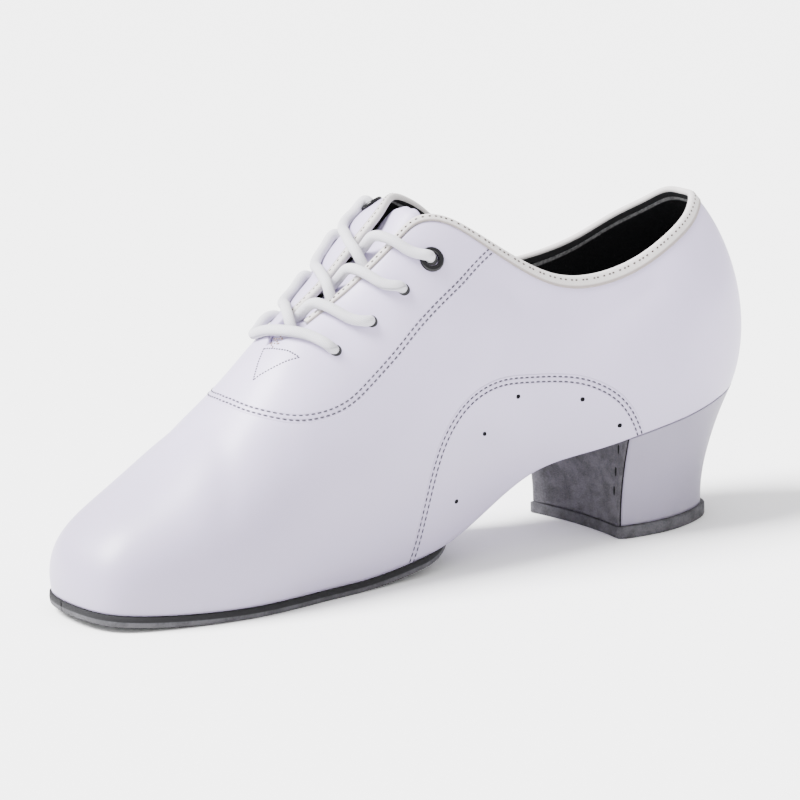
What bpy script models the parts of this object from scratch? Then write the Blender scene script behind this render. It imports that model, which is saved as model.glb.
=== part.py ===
"""Ballroom dance shoe (right foot) with a Cuban heel and a split sole.

Metres, +Z up, the toe toward -Y, the medial (inner) side at +X, the floor at z = 0.
Every curved piece is worked out from one last: a loop of ribs that rise from the
feather line, where the upper meets the sole, to the ridge of the last.
"""
import bmesh
import bpy
import numpy as np
from mathutils import Matrix, Vector

# Driving sizes
LENGTH = 0.280           # heel back to toe tip, along the feather line
BALL_WIDTH = 0.079       # across the feather line at the ball
INSTEP_HEIGHT = 0.120    # ridge over the bottom of the last, at the instep
SEAT_RISE = 0.0413       # heel seat over the forefoot, a third of the way into the heel
TOE_SPRING = 0.0030      # rise of the toe tip over the forefoot
GAP = 0.0003             # clearance between pieces that touch
WALL = 0.0018            # leather and lining of the upper
MARGIN = 0.0110          # lasting margin turned under the feather line
SOLE_THICK = 0.0038
SOLE_PROUD = 0.0008      # sole edge outside the feather line
SOLE_CHAMFER = 0.0007
INSOLE_THICK = 0.0020
INSOLE_CLEAR = 0.0012    # insole edge inside the inner wall
INSOLE_END = 0.30        # rib numbers that it stops short of the heel back and toe tip
SOLE_END = 0.04          # rib numbers that the sole stops short of the toe tip
SOLE_TAIL = 0.10         # width of the sole's rounded rear end, as a share of the full width
BINDING_HEIGHT = 0.0042
BINDING_BROW = 0.80      # height where it turns over the edge, as a share of its height
BINDING_PROUD = 0.0004   # binding over each face of the wall
TONGUE_THICK = 0.0022
TONGUE_SINK = 0.0012     # how far the top of the tongue lies below the facings
TONGUE_EDGE = 0.5        # thickness of its sides as a share of TONGUE_THICK
HEEL_LENGTH = 0.0620     # heel back to the medial corner of the breast
BREAST_SKEW = 0.0060     # how far its lateral corner is ahead of the medial one
BREAST_HOLLOW = 0.0030
BREAST_COVER_THICK = 0.0012
LIFT_THICK = 0.0045
LIFT_FLARE = 0.0016      # top piece outside the foot of the heel block
LIFT_CORNER = 0.0010     # and at its two front corners
LIFT_LEAD = 0.0003       # and in front of the breast cover
LIFT_CHAMFER = 0.0006
LACE_RADIUS = 0.0020
LACE_HOLE_RADIUS = 0.0024
BAR_SLANT = 0.20         # rib numbers that the bar runs toward the toe at its middle
BAR_KNEES = (0.88, 0.90) # shares of the medial and lateral rib halfway to its middle
BAR_LEAN = 0.6           # share of its slant there
CROSS_SLANT = 0.36       # rib numbers that a crossing runs toward the toe
CROSS_LEANS = (0.3, 0.7, 1.0, 1.1)   # shares of that at its stops after the hole
CROSS_EDGE = 0.04        # share of the rib past the wall's edge where it leaves the facing
CROSS_MIDDLE = 0.999     # share of the rib where it crosses the other one
CROSS_TAIL = 0.970       # and of the other side's rib where it ends
CROSS_SINK = 0.3         # its height at the middle, as a share of that on the facing
RING_HOLE_RADIUS = 0.0034
RING_RADIUS = 0.0046
RING_BORE = 0.0024
RING_HEIGHT = 0.0011
RING_BARREL = 0.8        # length of its barrel as a share of WALL
CENTRE_X = -0.0470       # middle of the whole shoe, as a share of BALL_WIDTH
CENTRE_Y = 0.0051        # and as a share of LENGTH

# Ribs of the last from the heel back to the toe tip. along and ridge are shares of
# LENGTH, medial, lateral, the bellies and shoulders of BALL_WIDTH, crown of
# INSTEP_HEIGHT, and the rises of the rib's own height.
RIBS = [
    # along medial lateral ridge  crown  belly_m belly_l rise_m rise_l should_m should_l
    (0.000, 0.000, 0.000, 0.114, 0.712, 0.157, 0.157, 0.392, 0.392, 0.296, 0.296),
    (0.018, 0.213, 0.222, 0.121, 0.712, 0.164, 0.158, 0.415, 0.415, 0.304, 0.304),
    (0.084, 0.358, 0.362, 0.147, 0.722, 0.133, 0.129, 0.400, 0.400, 0.266, 0.266),
    (0.158, 0.413, 0.406, 0.190, 0.730, 0.115, 0.115, 0.385, 0.385, 0.222, 0.222),
    (0.256, 0.376, 0.392, 0.273, 0.781, 0.114, 0.118, 0.371, 0.371, 0.204, 0.204),
    (0.363, 0.277, 0.348, 0.375, 0.888, 0.173, 0.156, 0.391, 0.391, 0.246, 0.246),
    (0.471, 0.306, 0.411, 0.501, 1.009, 0.161, 0.045, 0.416, 0.790, 0.295, 0.540),
    (0.581, 0.368, 0.513, 0.584, 0.865, 0.120, 0.030, 0.462, 0.780, 0.322, 0.550),
    (0.694, 0.422, 0.563, 0.701, 0.688, 0.101, 0.101, 0.506, 0.506, 0.334, 0.334),
    (0.784, 0.466, 0.532, 0.774, 0.530, 0.090, 0.090, 0.557, 0.557, 0.327, 0.327),
    (0.875, 0.439, 0.432, 0.845, 0.408, 0.076, 0.077, 0.604, 0.604, 0.291, 0.291),
    (0.953, 0.362, 0.318, 0.882, 0.349, 0.062, 0.060, 0.596, 0.596, 0.238, 0.238),
    (0.990, 0.228, 0.188, 0.894, 0.331, 0.049, 0.048, 0.592, 0.592, 0.209, 0.209),
    (1.000, 0.000, 0.000, 0.902, 0.319, 0.053, 0.053, 0.598, 0.598, 0.203, 0.203),
]
# Bottom profile of heel seat and shank: share of LENGTH, share of SEAT_RISE.
SHANK = [
    (0.000, 1.135),
    (0.107, 1.000),
    (0.207, 0.876),
    (0.271, 0.780),
    (0.339, 0.665),
    (0.411, 0.412),
    (0.482, 0.172),
    (0.554, 0.058),
    (0.650, 0.000),
]
FLAT_FROM = 0.650        # the forefoot is flat between these shares of LENGTH
FLAT_TO = 0.790
# Edge of the wall round the collar and down the throat: rib number, share of the rib on
# the medial side and on the lateral side.
OPENING = [
    (0.00, 0.688, 0.688),
    (1.00, 0.682, 0.688),
    (2.00, 0.608, 0.618),
    (3.00, 0.545, 0.551),
    (4.00, 0.505, 0.507),
    (4.60, 0.528, 0.530),
    (5.10, 0.602, 0.608),
    (5.50, 0.690, 0.710),
    (5.85, 0.787, 0.835),
    (6.08, 0.826, 0.900),
    (6.35, 0.836, 0.922),
    (6.80, 0.860, 0.916),
    (7.30, 0.888, 0.912),
    (7.95, 0.900, 0.925),
]
THROAT_ROUND = 7.68      # rib number where the throat begins to close
THROAT_END = 7.95        # and where it is closed
BINDING_END = 7.55
# Lace holes from the toe upward: rib number, share of the rib on each side.
LACE_HOLES = [
    (7.50, 0.700, 0.760),
    (7.04, 0.694, 0.765),
    (6.57, 0.684, 0.770),
    (6.12, 0.688, 0.775),
]
# Tongue: rib number, half width as a share of the medial and of the lateral rib, share of
# TONGUE_SINK.
TONGUE = [
    (8.55, 0.130, 0.130, 0.00),
    (8.00, 0.170, 0.150, 0.00),
    (7.40, 0.200, 0.150, 0.15),
    (6.80, 0.235, 0.155, 0.45),
    (6.30, 0.270, 0.165, 0.80),
    (6.00, 0.285, 0.180, 1.00),
    (5.78, 0.260, 0.170, 1.00),
]
TONGUE_ROUND = 0.16      # rib numbers that the corners of its top lie below the middle
# Heel block: share of the way down, share of the seat's width, share of its length.
HEEL = [
    (0.00, 1.000, 1.000),
    (0.18, 0.945, 0.932),
    (0.43, 0.880, 0.858),
    (0.66, 0.838, 0.808),
    (0.87, 0.815, 0.785),
    (1.00, 0.812, 0.782),
]
SPLIT_REAR = 5.80        # rib numbers where the half sole begins and is full
SPLIT_FULL = 6.60
COVER_FROM = 3.30        # rib numbers of the waist cover's ends
COVER_TO = 6.95
LAST_RIB = len(RIBS) - 1
LOOP = 2 * LAST_RIB      # ribs up the medial side and back down the lateral side
STEPS = [(0, 5, 3), (5, 8, 5), (8, 13, 3)]   # from rib, to rib, steps per rib
WALL_STEPS = 12
WALL_FOOT = 0.035        # share of the rib where the inner wall leaves the margin

COLLECTION = bpy.data.collections.new("ballroom_dance_shoe")
CUTTERS = bpy.data.collections.new("cutters")


def natural_spline(knots, values, query, flat_start=False, flat_end=False):
    """Cubic spline through the knots; an end is free, or flat where asked."""
    x = np.asarray(knots, float)
    y = np.asarray(values, float)
    n = len(x)
    h = np.diff(x)
    a = np.zeros((n, n))
    r = np.zeros(n)
    a[0, 0] = a[-1, -1] = 1.0
    if flat_start:
        a[0, 0], a[0, 1] = 2 * h[0], h[0]
        r[0] = 6 * (y[1] - y[0]) / h[0]
    if flat_end:
        a[-1, -1], a[-1, -2] = 2 * h[-1], h[-1]
        r[-1] = -6 * (y[-1] - y[-2]) / h[-1]
    for i in range(1, n - 1):
        a[i, i - 1:i + 2] = h[i - 1], 2 * (h[i - 1] + h[i]), h[i]
        r[i] = 6 * ((y[i + 1] - y[i]) / h[i] - (y[i] - y[i - 1]) / h[i - 1])
    m = np.linalg.solve(a, r)
    q = np.asarray(query, float)
    i = np.clip(np.searchsorted(x, q) - 1, 0, n - 2)
    t = q - x[i]
    slope = (y[i + 1] - y[i]) / h[i] - h[i] * (2 * m[i] + m[i + 1]) / 6
    return y[i] + t * slope + t * t * m[i] / 2 + t ** 3 * (m[i + 1] - m[i]) / (6 * h[i])


def loop_spline(values, query):
    """Closed cubic spline through rows of values at whole numbers."""
    n = len(values)
    a = 4 * np.eye(n) + np.roll(np.eye(n), 1, 0) + np.roll(np.eye(n), -1, 0)
    m = np.linalg.solve(a, 6 * (np.roll(values, -1, 0) - 2 * values + np.roll(values, 1, 0)))
    i = np.floor(query).astype(int)
    t = (query - i)[..., None]
    i, j = i % n, (i + 1) % n
    bend = ((1 - t) ** 3 - (1 - t)) * m[i] + (t ** 3 - t) * m[j]
    return values[i] * (1 - t) + values[j] * t + bend / 6


def bottom_height(along, offset=0.0):
    """Height of the last's bottom at a length from the heel back, moved square to it."""
    share = np.asarray(along, float) / LENGTH

    def profile(s):
        shank = natural_spline([r[0] for r in SHANK], [r[1] for r in SHANK],
                               np.clip(s, -0.02, FLAT_FROM), flat_end=True)
        toe = np.clip((s - FLAT_TO) / (1 - FLAT_TO), 0, None) ** 2
        shank = np.where(s < FLAT_FROM, shank, 0.0)
        return SOLE_THICK + GAP + SEAT_RISE * shank + TOE_SPRING * toe

    step = 0.002
    slope = (profile(share + step) - profile(share - step)) / (2 * step * LENGTH)
    return profile(share) + offset * np.sqrt(1 + slope ** 2)


def rib_loop():
    """Rows of the closed loop of ribs: medial side forward, lateral side back."""
    rows = []
    for i in range(LOOP):
        medial = i <= LAST_RIB
        rib = RIBS[i if medial else LOOP - i]
        out = rib[1] if medial else -rib[2]
        belly, rise, shoulder = rib[5::2] if medial else rib[6::2]
        rows.append((rib[0] * LENGTH, out * BALL_WIDTH, rib[3] * LENGTH,
                     belly * BALL_WIDTH, rise, shoulder * BALL_WIDTH))
    return np.array(rows)


RIB_LOOP = rib_loop()


def ridge_height(along):
    """Height of the ridge of the last at a length from the heel back."""
    ridge = np.array([rib[3] for rib in RIBS]) * LENGTH
    crown = np.array([rib[4] for rib in RIBS]) * INSTEP_HEIGHT
    return natural_spline(ridge, crown + bottom_height(ridge), along)


def last_surface(u, v):
    """Points of the last. Each rib is a cubic Bezier curve from the feather line (v = 0)
    by the belly and the shoulder to the ridge (v = 1); u counts ribs round the loop."""
    u, v = np.broadcast_arrays(np.asarray(u, float), np.asarray(v, float))
    along, out, ridge, belly, rise, shoulder = np.moveaxis(loop_spline(RIB_LOOP, u), -1, 0)
    foot = np.stack([out, LENGTH / 2 - along, bottom_height(along)], -1)
    head = np.stack([0 * out, LENGTH / 2 - ridge, ridge_height(ridge)], -1)
    flat = (foot - head)[..., :2]
    flat = flat / np.linalg.norm(flat, axis=-1, keepdims=True)
    reach = 0.01 * LENGTH
    slope = (ridge_height(ridge - reach) - ridge_height(ridge + reach)) / (2 * reach)
    level = np.concatenate([flat, 0 * flat[..., :1]], -1)
    tilted = np.concatenate([flat, (slope * flat[..., 1])[..., None]], -1)
    up = np.array([0.0, 0.0, 1.0])
    height = (head - foot)[..., 2]
    low = foot + belly[..., None] * level + (rise * height)[..., None] * up
    high = head + shoulder[..., None] * tilted
    v = v[..., None]
    w = 1 - v
    return w ** 3 * foot + 3 * w * w * v * low + 3 * w * v * v * high + v ** 3 * head


def outward(u, v):
    """Unit normals of the last, pointing out of the shoe: up the rib crossed with forward."""
    e = 1e-3
    u, v = np.broadcast_arrays(np.asarray(u, float), np.asarray(v, float))
    ahead = np.minimum(v, 0.99)
    forward = last_surface(u + e, ahead) - last_surface(u - e, ahead)
    up = last_surface(u, np.minimum(v + e, 1)) - last_surface(u, np.maximum(v - e, 0))
    normal = np.cross(up, forward)
    return normal / np.linalg.norm(normal, axis=-1, keepdims=True)


def skin(u, v, depth=0.0):
    """Points at a depth inside the last's surface, negative outside it."""
    depth = np.asarray(depth, float)[..., None]
    return last_surface(u, v) - depth * outward(u, v)


def plan_normal(u):
    """Unit plan direction from the ridge out to the feather line."""
    flat = (last_surface(u, 0.0) - last_surface(u, 1.0))[..., :2]
    return flat / np.linalg.norm(flat, axis=-1, keepdims=True)


def feather(u, inset=0.0, offset=0.0):
    """Feather line moved inward in plan by inset and moved square to the bottom by offset."""
    point = last_surface(u, 0.0)
    point[..., :2] -= inset * plan_normal(u)
    point[..., 2] = bottom_height(LENGTH / 2 - point[..., 1], offset)
    return point


def rib_number(u):
    """Rib number along one side, 0 at the heel back and LAST_RIB at the toe tip."""
    return np.minimum(u % LOOP, LOOP - u % LOOP)


def wall_edge(u):
    """Share of the rib where the wall ends, 1 where the vamp is closed."""
    q = rib_number(u)
    table = np.array(OPENING)
    medial, lateral = (natural_spline(table[:, 0], table[:, side], np.minimum(q, THROAT_END),
                                      flat_start=True) for side in (1, 2))
    edge = np.where(u % LOOP <= LAST_RIB, medial, lateral)
    closing = np.clip((q - THROAT_ROUND) / (THROAT_END - THROAT_ROUND), 0, 1)
    edge = 1 - (1 - edge) * np.sqrt(1 - closing ** 2)
    return np.where(q >= THROAT_END - 1e-9, 1.0, edge)


def share_of(u, v, size):
    """Share of the rib that a size along it takes up at that place."""
    e = 1e-3
    return size * 2 * e / np.linalg.norm(last_surface(u, v + e) - last_surface(u, v - e), axis=-1)


def stations(start, stop):
    """Rib numbers of one side between two ends, closer together round the throat."""
    marks = [np.linspace(a, b, (b - a) * n + 1) for a, b, n in STEPS]
    closing = np.linspace(THROAT_ROUND, THROAT_END, 4)
    marks = np.concatenate([m[abs(m - closing.mean()) > 0.2] for m in marks] + [closing])
    marks = marks[(marks > start + 0.04) & (marks < stop - 0.04)]
    return np.unique(np.round(np.concatenate([[start], marks, [stop]]), 5))


def material(name, colour, roughness, metallic=0.0):
    """Principled material with one colour."""
    made = bpy.data.materials.new(name)
    made.use_nodes = True
    shader = made.node_tree.nodes["Principled BSDF"]
    shader.inputs["Base Color"].default_value = (*colour, 1.0)
    shader.inputs["Roughness"].default_value = roughness
    shader.inputs["Metallic"].default_value = metallic
    made.diffuse_color = (*colour, 1.0)
    return made


def mesh_object(name, vertices, faces, finish, smooth=True):
    """Object of one closed mesh: doubles merged, normals turned out."""
    mesh = bpy.data.meshes.new(name)
    mesh.from_pydata([tuple(p) for p in vertices], [], faces)
    work = bmesh.new()
    work.from_mesh(mesh)
    bmesh.ops.remove_doubles(work, verts=work.verts, dist=1e-6)
    bmesh.ops.recalc_face_normals(work, faces=work.faces)
    if work.calc_volume(signed=True) < 0:
        bmesh.ops.reverse_faces(work, faces=work.faces)
    work.to_mesh(mesh)
    work.free()
    made = bpy.data.objects.new(name, mesh)
    made.data.materials.append(finish)
    COLLECTION.objects.link(made)
    if smooth:
        mesh.shade_smooth()
        mesh.set_sharp_from_angle(angle=0.6)
    return made


def ring_faces(rings, size, closed):
    """Quads between rings of equal size that follow each other."""
    faces = []
    for i in range(rings if closed else rings - 1):
        a, b = i * size, (i + 1) % rings * size
        for j in range(size):
            k = (j + 1) % size
            faces.append((a + j, b + j, b + k, a + k))
    return faces


def loft(name, sections, finish):
    """Solid through sections of equal size, with a cap on each end."""
    count, size = sections.shape[:2]
    faces = ring_faces(count, size, False)
    faces.append(tuple(range(size)))
    faces.append(tuple(range((count - 1) * size, count * size)))
    return mesh_object(name, sections.reshape(-1, 3), faces, finish)


def strip(name, upper_left, upper_right, lower_left, lower_right, finish, rim=()):
    """Plate between two side lines: a section of its top and bottom corners per station,
    and rim pairs of (left, right) lines between top and bottom."""
    left = [upper_left] + [pair[0] for pair in rim] + [lower_left]
    right = [lower_right] + [pair[1] for pair in rim][::-1] + [upper_right]
    return loft(name, np.stack(left + right, 1), finish)


def both_sides(q):
    """Loop positions of the medial and the lateral rib of a number."""
    return q, (LOOP - q) % LOOP


def build_upper(finish):
    """Hollow wall from the turned margin to the collar and the throat."""
    side = stations(0, LAST_RIB)
    loop = np.concatenate([side, LOOP - side[-2:0:-1]])
    edge = wall_edge(loop)
    rows = np.linspace(0, 1, WALL_STEPS + 1)
    u = np.repeat(loop[:, None], len(rows), 1)
    v_out = edge[:, None] * rows
    v_in = WALL_FOOT + (edge[:, None] - WALL_FOOT) * rows[::-1]
    outer = skin(u, v_out)
    inner = skin(u, v_in, WALL)
    closed = edge > 1 - 1e-9
    for wall in (outer[:, -1], inner[:, 0]):
        wall[closed, 0] = 0.0
    partner = (len(loop) - np.arange(len(loop))) % len(loop)
    inner[closed, 0] = (0.5 * (inner[:, 0] + inner[partner, 0]))[closed]
    rib = [feather(loop, MARGIN)[:, None], outer, inner,
           feather(loop, WALL, WALL)[:, None], feather(loop, MARGIN, WALL)[:, None]]
    points = np.concatenate(rib, 1)
    count, size = points.shape[:2]
    faces = []
    crest = len(rows)
    for i in range(count):
        j = (i + 1) % count
        for k in range(size):
            if k == crest and closed[i] and closed[j]:
                continue
            n = (k + 1) % size
            faces.append((i * size + k, j * size + k, j * size + n, i * size + n))
    return mesh_object("upper", points.reshape(-1, 3), faces, finish)


def build_binding(finish):
    """Folded ribbon on the edge of the wall, from the throat round the collar and back."""
    side = stations(0, BINDING_END)
    loop = np.concatenate([LOOP - side[:0:-1], side])
    edge = wall_edge(loop)
    foot = edge + share_of(loop, edge, 2 * GAP)
    top = edge + share_of(loop, edge, 2 * GAP + BINDING_HEIGHT)
    brow = edge + share_of(loop, edge, 2 * GAP + BINDING_BROW * BINDING_HEIGHT)
    out, back = -BINDING_PROUD, WALL + BINDING_PROUD
    profile = [(foot, out), (brow, out), (top, 0.3 * WALL), (top, 0.7 * WALL), (brow, back),
               (foot, back)]
    sections = [skin(loop, v, np.full(loop.shape, d)) for v, d in profile]
    return loft("collar_binding", np.stack(sections, 1), finish)


def build_tongue(finish):
    """Padded strip under the facings that sinks toward its top."""
    table = np.array(TONGUE)[::-1]
    q = np.linspace(table[0, 0], table[-1, 0], 17)
    medial, lateral = (natural_spline(table[:, 0], table[:, side], q) for side in (1, 2))
    sink = np.interp(q, table[:, 0], table[:, 3]) * TONGUE_SINK
    across = np.linspace(-1, 1, 11)
    layers = []
    for thick in (0.0, TONGUE_THICK):
        line = []
        for w in across:
            drop = TONGUE_ROUND * w * w * (q[-1] - q) / (q[-1] - q[0])
            u = q + drop if w >= 0 else LOOP - q - drop
            taper = thick * (1 - (1 - TONGUE_EDGE) * abs(w) ** 4)
            depth = WALL + BINDING_PROUD + 2 * GAP + sink + taper
            point = skin(u, 1 - abs(w) * (medial if w >= 0 else lateral), depth)
            if abs(w) < 1e-9:
                point[:, 0] = 0.0
            line.append(point)
        layers.append(np.stack(line, 1))
    return loft("tongue", np.concatenate([layers[0], layers[1][:, ::-1]], 1), finish)


def build_insole(finish):
    """Sock board on the turned margin, a clearance inside the inner wall."""
    medial, lateral = both_sides(stations(INSOLE_END, LAST_RIB - INSOLE_END))
    inset = WALL + INSOLE_CLEAR
    low, high = WALL + GAP, WALL + GAP + INSOLE_THICK
    return strip("insole", feather(medial, inset, high), feather(lateral, inset, high),
                 feather(medial, inset, low), feather(lateral, inset, low), finish)


def narrowed(left, right, share):
    """Two side lines drawn together about their middle."""
    middle = 0.5 * (left + right)
    return middle + share[:, None] * (left - middle), middle + share[:, None] * (right - middle)


def build_outsole(finish):
    """Half sole under the forefoot, its rear end rounded under the waist."""
    q = np.concatenate([np.linspace(SPLIT_REAR, SPLIT_FULL, 8)[:-1],
                        stations(SPLIT_FULL, LAST_RIB - SOLE_END)])
    back = np.clip((SPLIT_FULL - q) / (SPLIT_FULL - SPLIT_REAR), 0, 1)
    share = np.maximum(np.sqrt(1 - back ** 2), SOLE_TAIL)
    medial, lateral = both_sides(q)
    lines = []
    for proud, offset in [(SOLE_PROUD, -GAP), (SOLE_PROUD, -GAP - SOLE_THICK + SOLE_CHAMFER),
                          (SOLE_PROUD - SOLE_CHAMFER, -GAP - SOLE_THICK)]:
        pair = narrowed(feather(medial, -proud), feather(lateral, -proud), share)
        for line in pair:
            line[:, 2] = bottom_height(LENGTH / 2 - line[:, 1], offset)
        lines.append(pair)
    return strip("outsole", lines[0][0], lines[0][1], lines[2][0], lines[2][1], finish,
                 rim=[lines[1]])


def build_waist_cover(finish):
    """Leather between the margins that closes the waist, flush with them."""
    medial, lateral = both_sides(stations(COVER_FROM, COVER_TO))
    inset = MARGIN + GAP
    return strip("waist_cover", feather(medial, inset, WALL), feather(lateral, inset, WALL),
                 feather(medial, inset), feather(lateral, inset), finish)


def heel_outline():
    """Plan of the heel seat: the feather line behind the breast, then the breast's hollow.
    Returns the points and the number of them that lie on the breast."""
    probe = np.linspace(2.5, 5.0, 251)
    corners = []
    for side, length in zip(both_sides(probe), (HEEL_LENGTH, HEEL_LENGTH + BREAST_SKEW)):
        along = LENGTH / 2 - last_surface(side, 0.0)[:, 1]
        corners.append(float(np.interp(length, along, probe)))
    medial, lateral = (np.linspace(0, corner, 13) for corner in corners)
    loop = np.concatenate([medial[::-1], LOOP - lateral[1:]]) % LOOP
    rim = last_surface(loop, 0.0)[:, :2]
    medial, lateral = rim[0], rim[-1]
    t = np.linspace(0, 1, 9)[1:-1]
    breast = lateral + t[:, None] * (medial - lateral)
    breast[:, 1] += BREAST_HOLLOW * (1 - (2 * t - 1) ** 2)
    return np.concatenate([rim, breast]), len(breast)


def heel_section(plan, down, width, length):
    """Outline of the heel block at one level of the HEEL table."""
    breast_y = LENGTH / 2 - HEEL_LENGTH
    foot = LIFT_THICK + GAP
    top = bottom_height(LENGTH / 2 - plan[:, 1], -GAP)
    x = plan[:, 0] * width
    y = breast_y + (plan[:, 1] - breast_y) * length
    return np.stack([x, y, top + (foot - top) * down], -1)


def build_heel_block(finish):
    """Leather-covered Cuban heel that narrows to its foot; each end is a fan of faces
    about its middle, and the top follows the seat."""
    plan = heel_outline()[0]
    sections = np.array([heel_section(plan, *row) for row in HEEL])
    count, size = sections.shape[:2]
    points = list(sections.reshape(-1, 3))
    faces = ring_faces(count, size, False)
    for start, row in ((0, sections[0]), ((count - 1) * size, sections[-1])):
        hub = 0.5 * (row.min(0) + row.max(0))
        if start == 0:
            hub[2] = bottom_height(LENGTH / 2 - hub[1], -GAP)
        faces += [(start + j, start + (j + 1) % size, len(points)) for j in range(size)]
        points.append(hub)
    return mesh_object("heel_block", points, faces, finish)


def build_breast_cover(finish):
    """Suede flap on the hollow front of the heel."""
    plan, count = heel_outline()
    rim = len(plan) - count
    order = [rim - 1] + list(range(rim, len(plan))) + [0]
    sections = []
    for down, width, length in HEEL:
        row = heel_section(plan[order], down, width, length)
        faces = []
        for reach in (GAP, GAP + BREAST_COVER_THICK):
            face = row - [0.0, reach, 0.0]
            if down == 0.0:
                face[:, 2] = bottom_height(LENGTH / 2 - face[:, 1], -GAP)
            faces.append(face)
        sections.append(np.concatenate([faces[0], faces[1][::-1]]))
    return loft("heel_breast_cover", np.array(sections), finish)


def build_lift(finish):
    """Flared top piece under the heel, flat on the floor."""
    plan, count = heel_outline()
    foot = heel_section(plan, *HEEL[-1])
    rim = len(plan) - count
    centre = np.array([0.0, foot[:, 1].mean()])
    step = np.roll(foot[:, :2], -1, 0) - np.roll(foot[:, :2], 1, 0)
    normal = np.stack([step[:, 1], -step[:, 0]], -1)
    normal /= np.linalg.norm(normal, axis=1, keepdims=True)
    normal *= np.sign(((foot[:, :2] - centre) * normal).sum(1).mean())
    front = np.zeros(len(plan))
    front[rim:] = 1.0
    front[[0, rim - 1]] = 1.0
    reach = GAP + BREAST_COVER_THICK + LIFT_LEAD
    sections = []
    for z, back_off in [(LIFT_THICK, 0.0), (LIFT_CHAMFER, 0.0), (0.0, LIFT_CHAMFER)]:
        flat = foot[:, :2] + (LIFT_FLARE - back_off) * normal * (1 - front[:, None])
        flat[:, 1] -= front * (reach - back_off)
        flat[[0, rim - 1], 0] += np.sign(flat[[0, rim - 1], 0]) * (LIFT_CORNER - back_off)
        sections.append(np.column_stack([flat, np.full(len(flat), z)]))
    return loft("heel_lift", np.array(sections), finish)


def hole_frame(u, v, depth):
    """Placement with its z axis along the outward normal at a place on the last."""
    normal = Vector(outward(u, v))
    turn = normal.to_track_quat("Z", "Y").to_matrix().to_4x4()
    return Matrix.Translation(Vector(skin(u, v, depth))) @ turn


def punch_holes(upper):
    """Cut the lace holes; the top pair is wider, for its rings."""
    for row, (q, *shares) in enumerate(LACE_HOLES):
        radius = RING_HOLE_RADIUS if row == len(LACE_HOLES) - 1 else LACE_HOLE_RADIUS
        for side, u, v in zip(("medial", "lateral"), both_sides(q), shares):
            work = bmesh.new()
            bmesh.ops.create_cone(work, cap_ends=True, segments=12, radius1=radius,
                                  radius2=radius, depth=6 * WALL)
            mesh = bpy.data.meshes.new("hole")
            work.to_mesh(mesh)
            work.free()
            cutter = bpy.data.objects.new(f"hole_{row + 1}_{side}", mesh)
            cutter.matrix_world = hole_frame(u, v, WALL / 2)
            cutter.hide_render = True
            cutter.display_type = "WIRE"
            CUTTERS.objects.link(cutter)
            cut = upper.modifiers.new(cutter.name, "BOOLEAN")
            cut.object = cutter
            cut.solver = "EXACT"


def build_ring(side, u, v, finish):
    """Eyelet: a turned flange on the leather with a short barrel in the hole."""
    barrel = RING_HOLE_RADIUS - GAP
    profile = [
        (RING_BORE, 0.7 * RING_HEIGHT),
        (RING_BORE, -RING_BARREL * WALL),
        (barrel, -RING_BARREL * WALL),
        (barrel, 2 * GAP),
        (RING_RADIUS, 2 * GAP),
        (RING_RADIUS, 0.5 * RING_HEIGHT),
        (0.5 * (RING_RADIUS + barrel), RING_HEIGHT),
        (barrel, RING_HEIGHT),
    ]
    turns = np.linspace(0, 2 * np.pi, 21)[:-1]
    rings = [[(r * np.cos(t), r * np.sin(t), z) for r, z in profile] for t in turns]
    frame = hole_frame(u, v, 0.0)
    points = [frame @ Vector(p) for ring in rings for p in ring]
    return mesh_object(f"eyelet_ring_{side}", points,
                       ring_faces(len(rings), len(profile), True), finish)


def tube(name, points, radius, finish):
    """Round cord through points, made a mesh with welded caps."""
    curve = bpy.data.curves.new(name, "CURVE")
    curve.dimensions = "3D"
    curve.bevel_depth = radius
    curve.bevel_resolution = 2
    curve.use_fill_caps = True
    spline = curve.splines.new("POLY")
    spline.points.add(len(points) - 1)
    for knot, point in zip(spline.points, points):
        knot.co = (*point, 1.0)
    path = bpy.data.objects.new(name + "_path", curve)
    COLLECTION.objects.link(path)
    bpy.context.view_layer.update()
    graph = bpy.context.evaluated_depsgraph_get()
    mesh = bpy.data.meshes.new_from_object(path.evaluated_get(graph))
    bpy.data.objects.remove(path)
    work = bmesh.new()
    work.from_mesh(mesh)
    bmesh.ops.remove_doubles(work, verts=work.verts, dist=1e-6)
    bmesh.ops.recalc_face_normals(work, faces=work.faces)
    work.to_mesh(mesh)
    work.free()
    mesh.name = name
    mesh.materials.clear()
    mesh.materials.append(finish)
    mesh.shade_smooth()
    made = bpy.data.objects.new(name, mesh)
    COLLECTION.objects.link(made)
    return made


def lace_path(stops, count):
    """Smooth path through stops of (side, rib number, share of the rib, height)."""
    side = np.array([s[0] for s in stops], float)
    spread = side * (1 - np.array([s[2] for s in stops]))
    marks = np.arange(len(stops), dtype=float)
    t = np.linspace(0, len(stops) - 1, count)
    w = natural_spline(marks, spread, t)
    q = natural_spline(marks, [s[1] for s in stops], t)
    height = natural_spline(marks, [s[3] for s in stops], t)
    u = np.where(w >= 0, q, LOOP - q)
    return skin(u, 1 - np.abs(w), -height)


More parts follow.
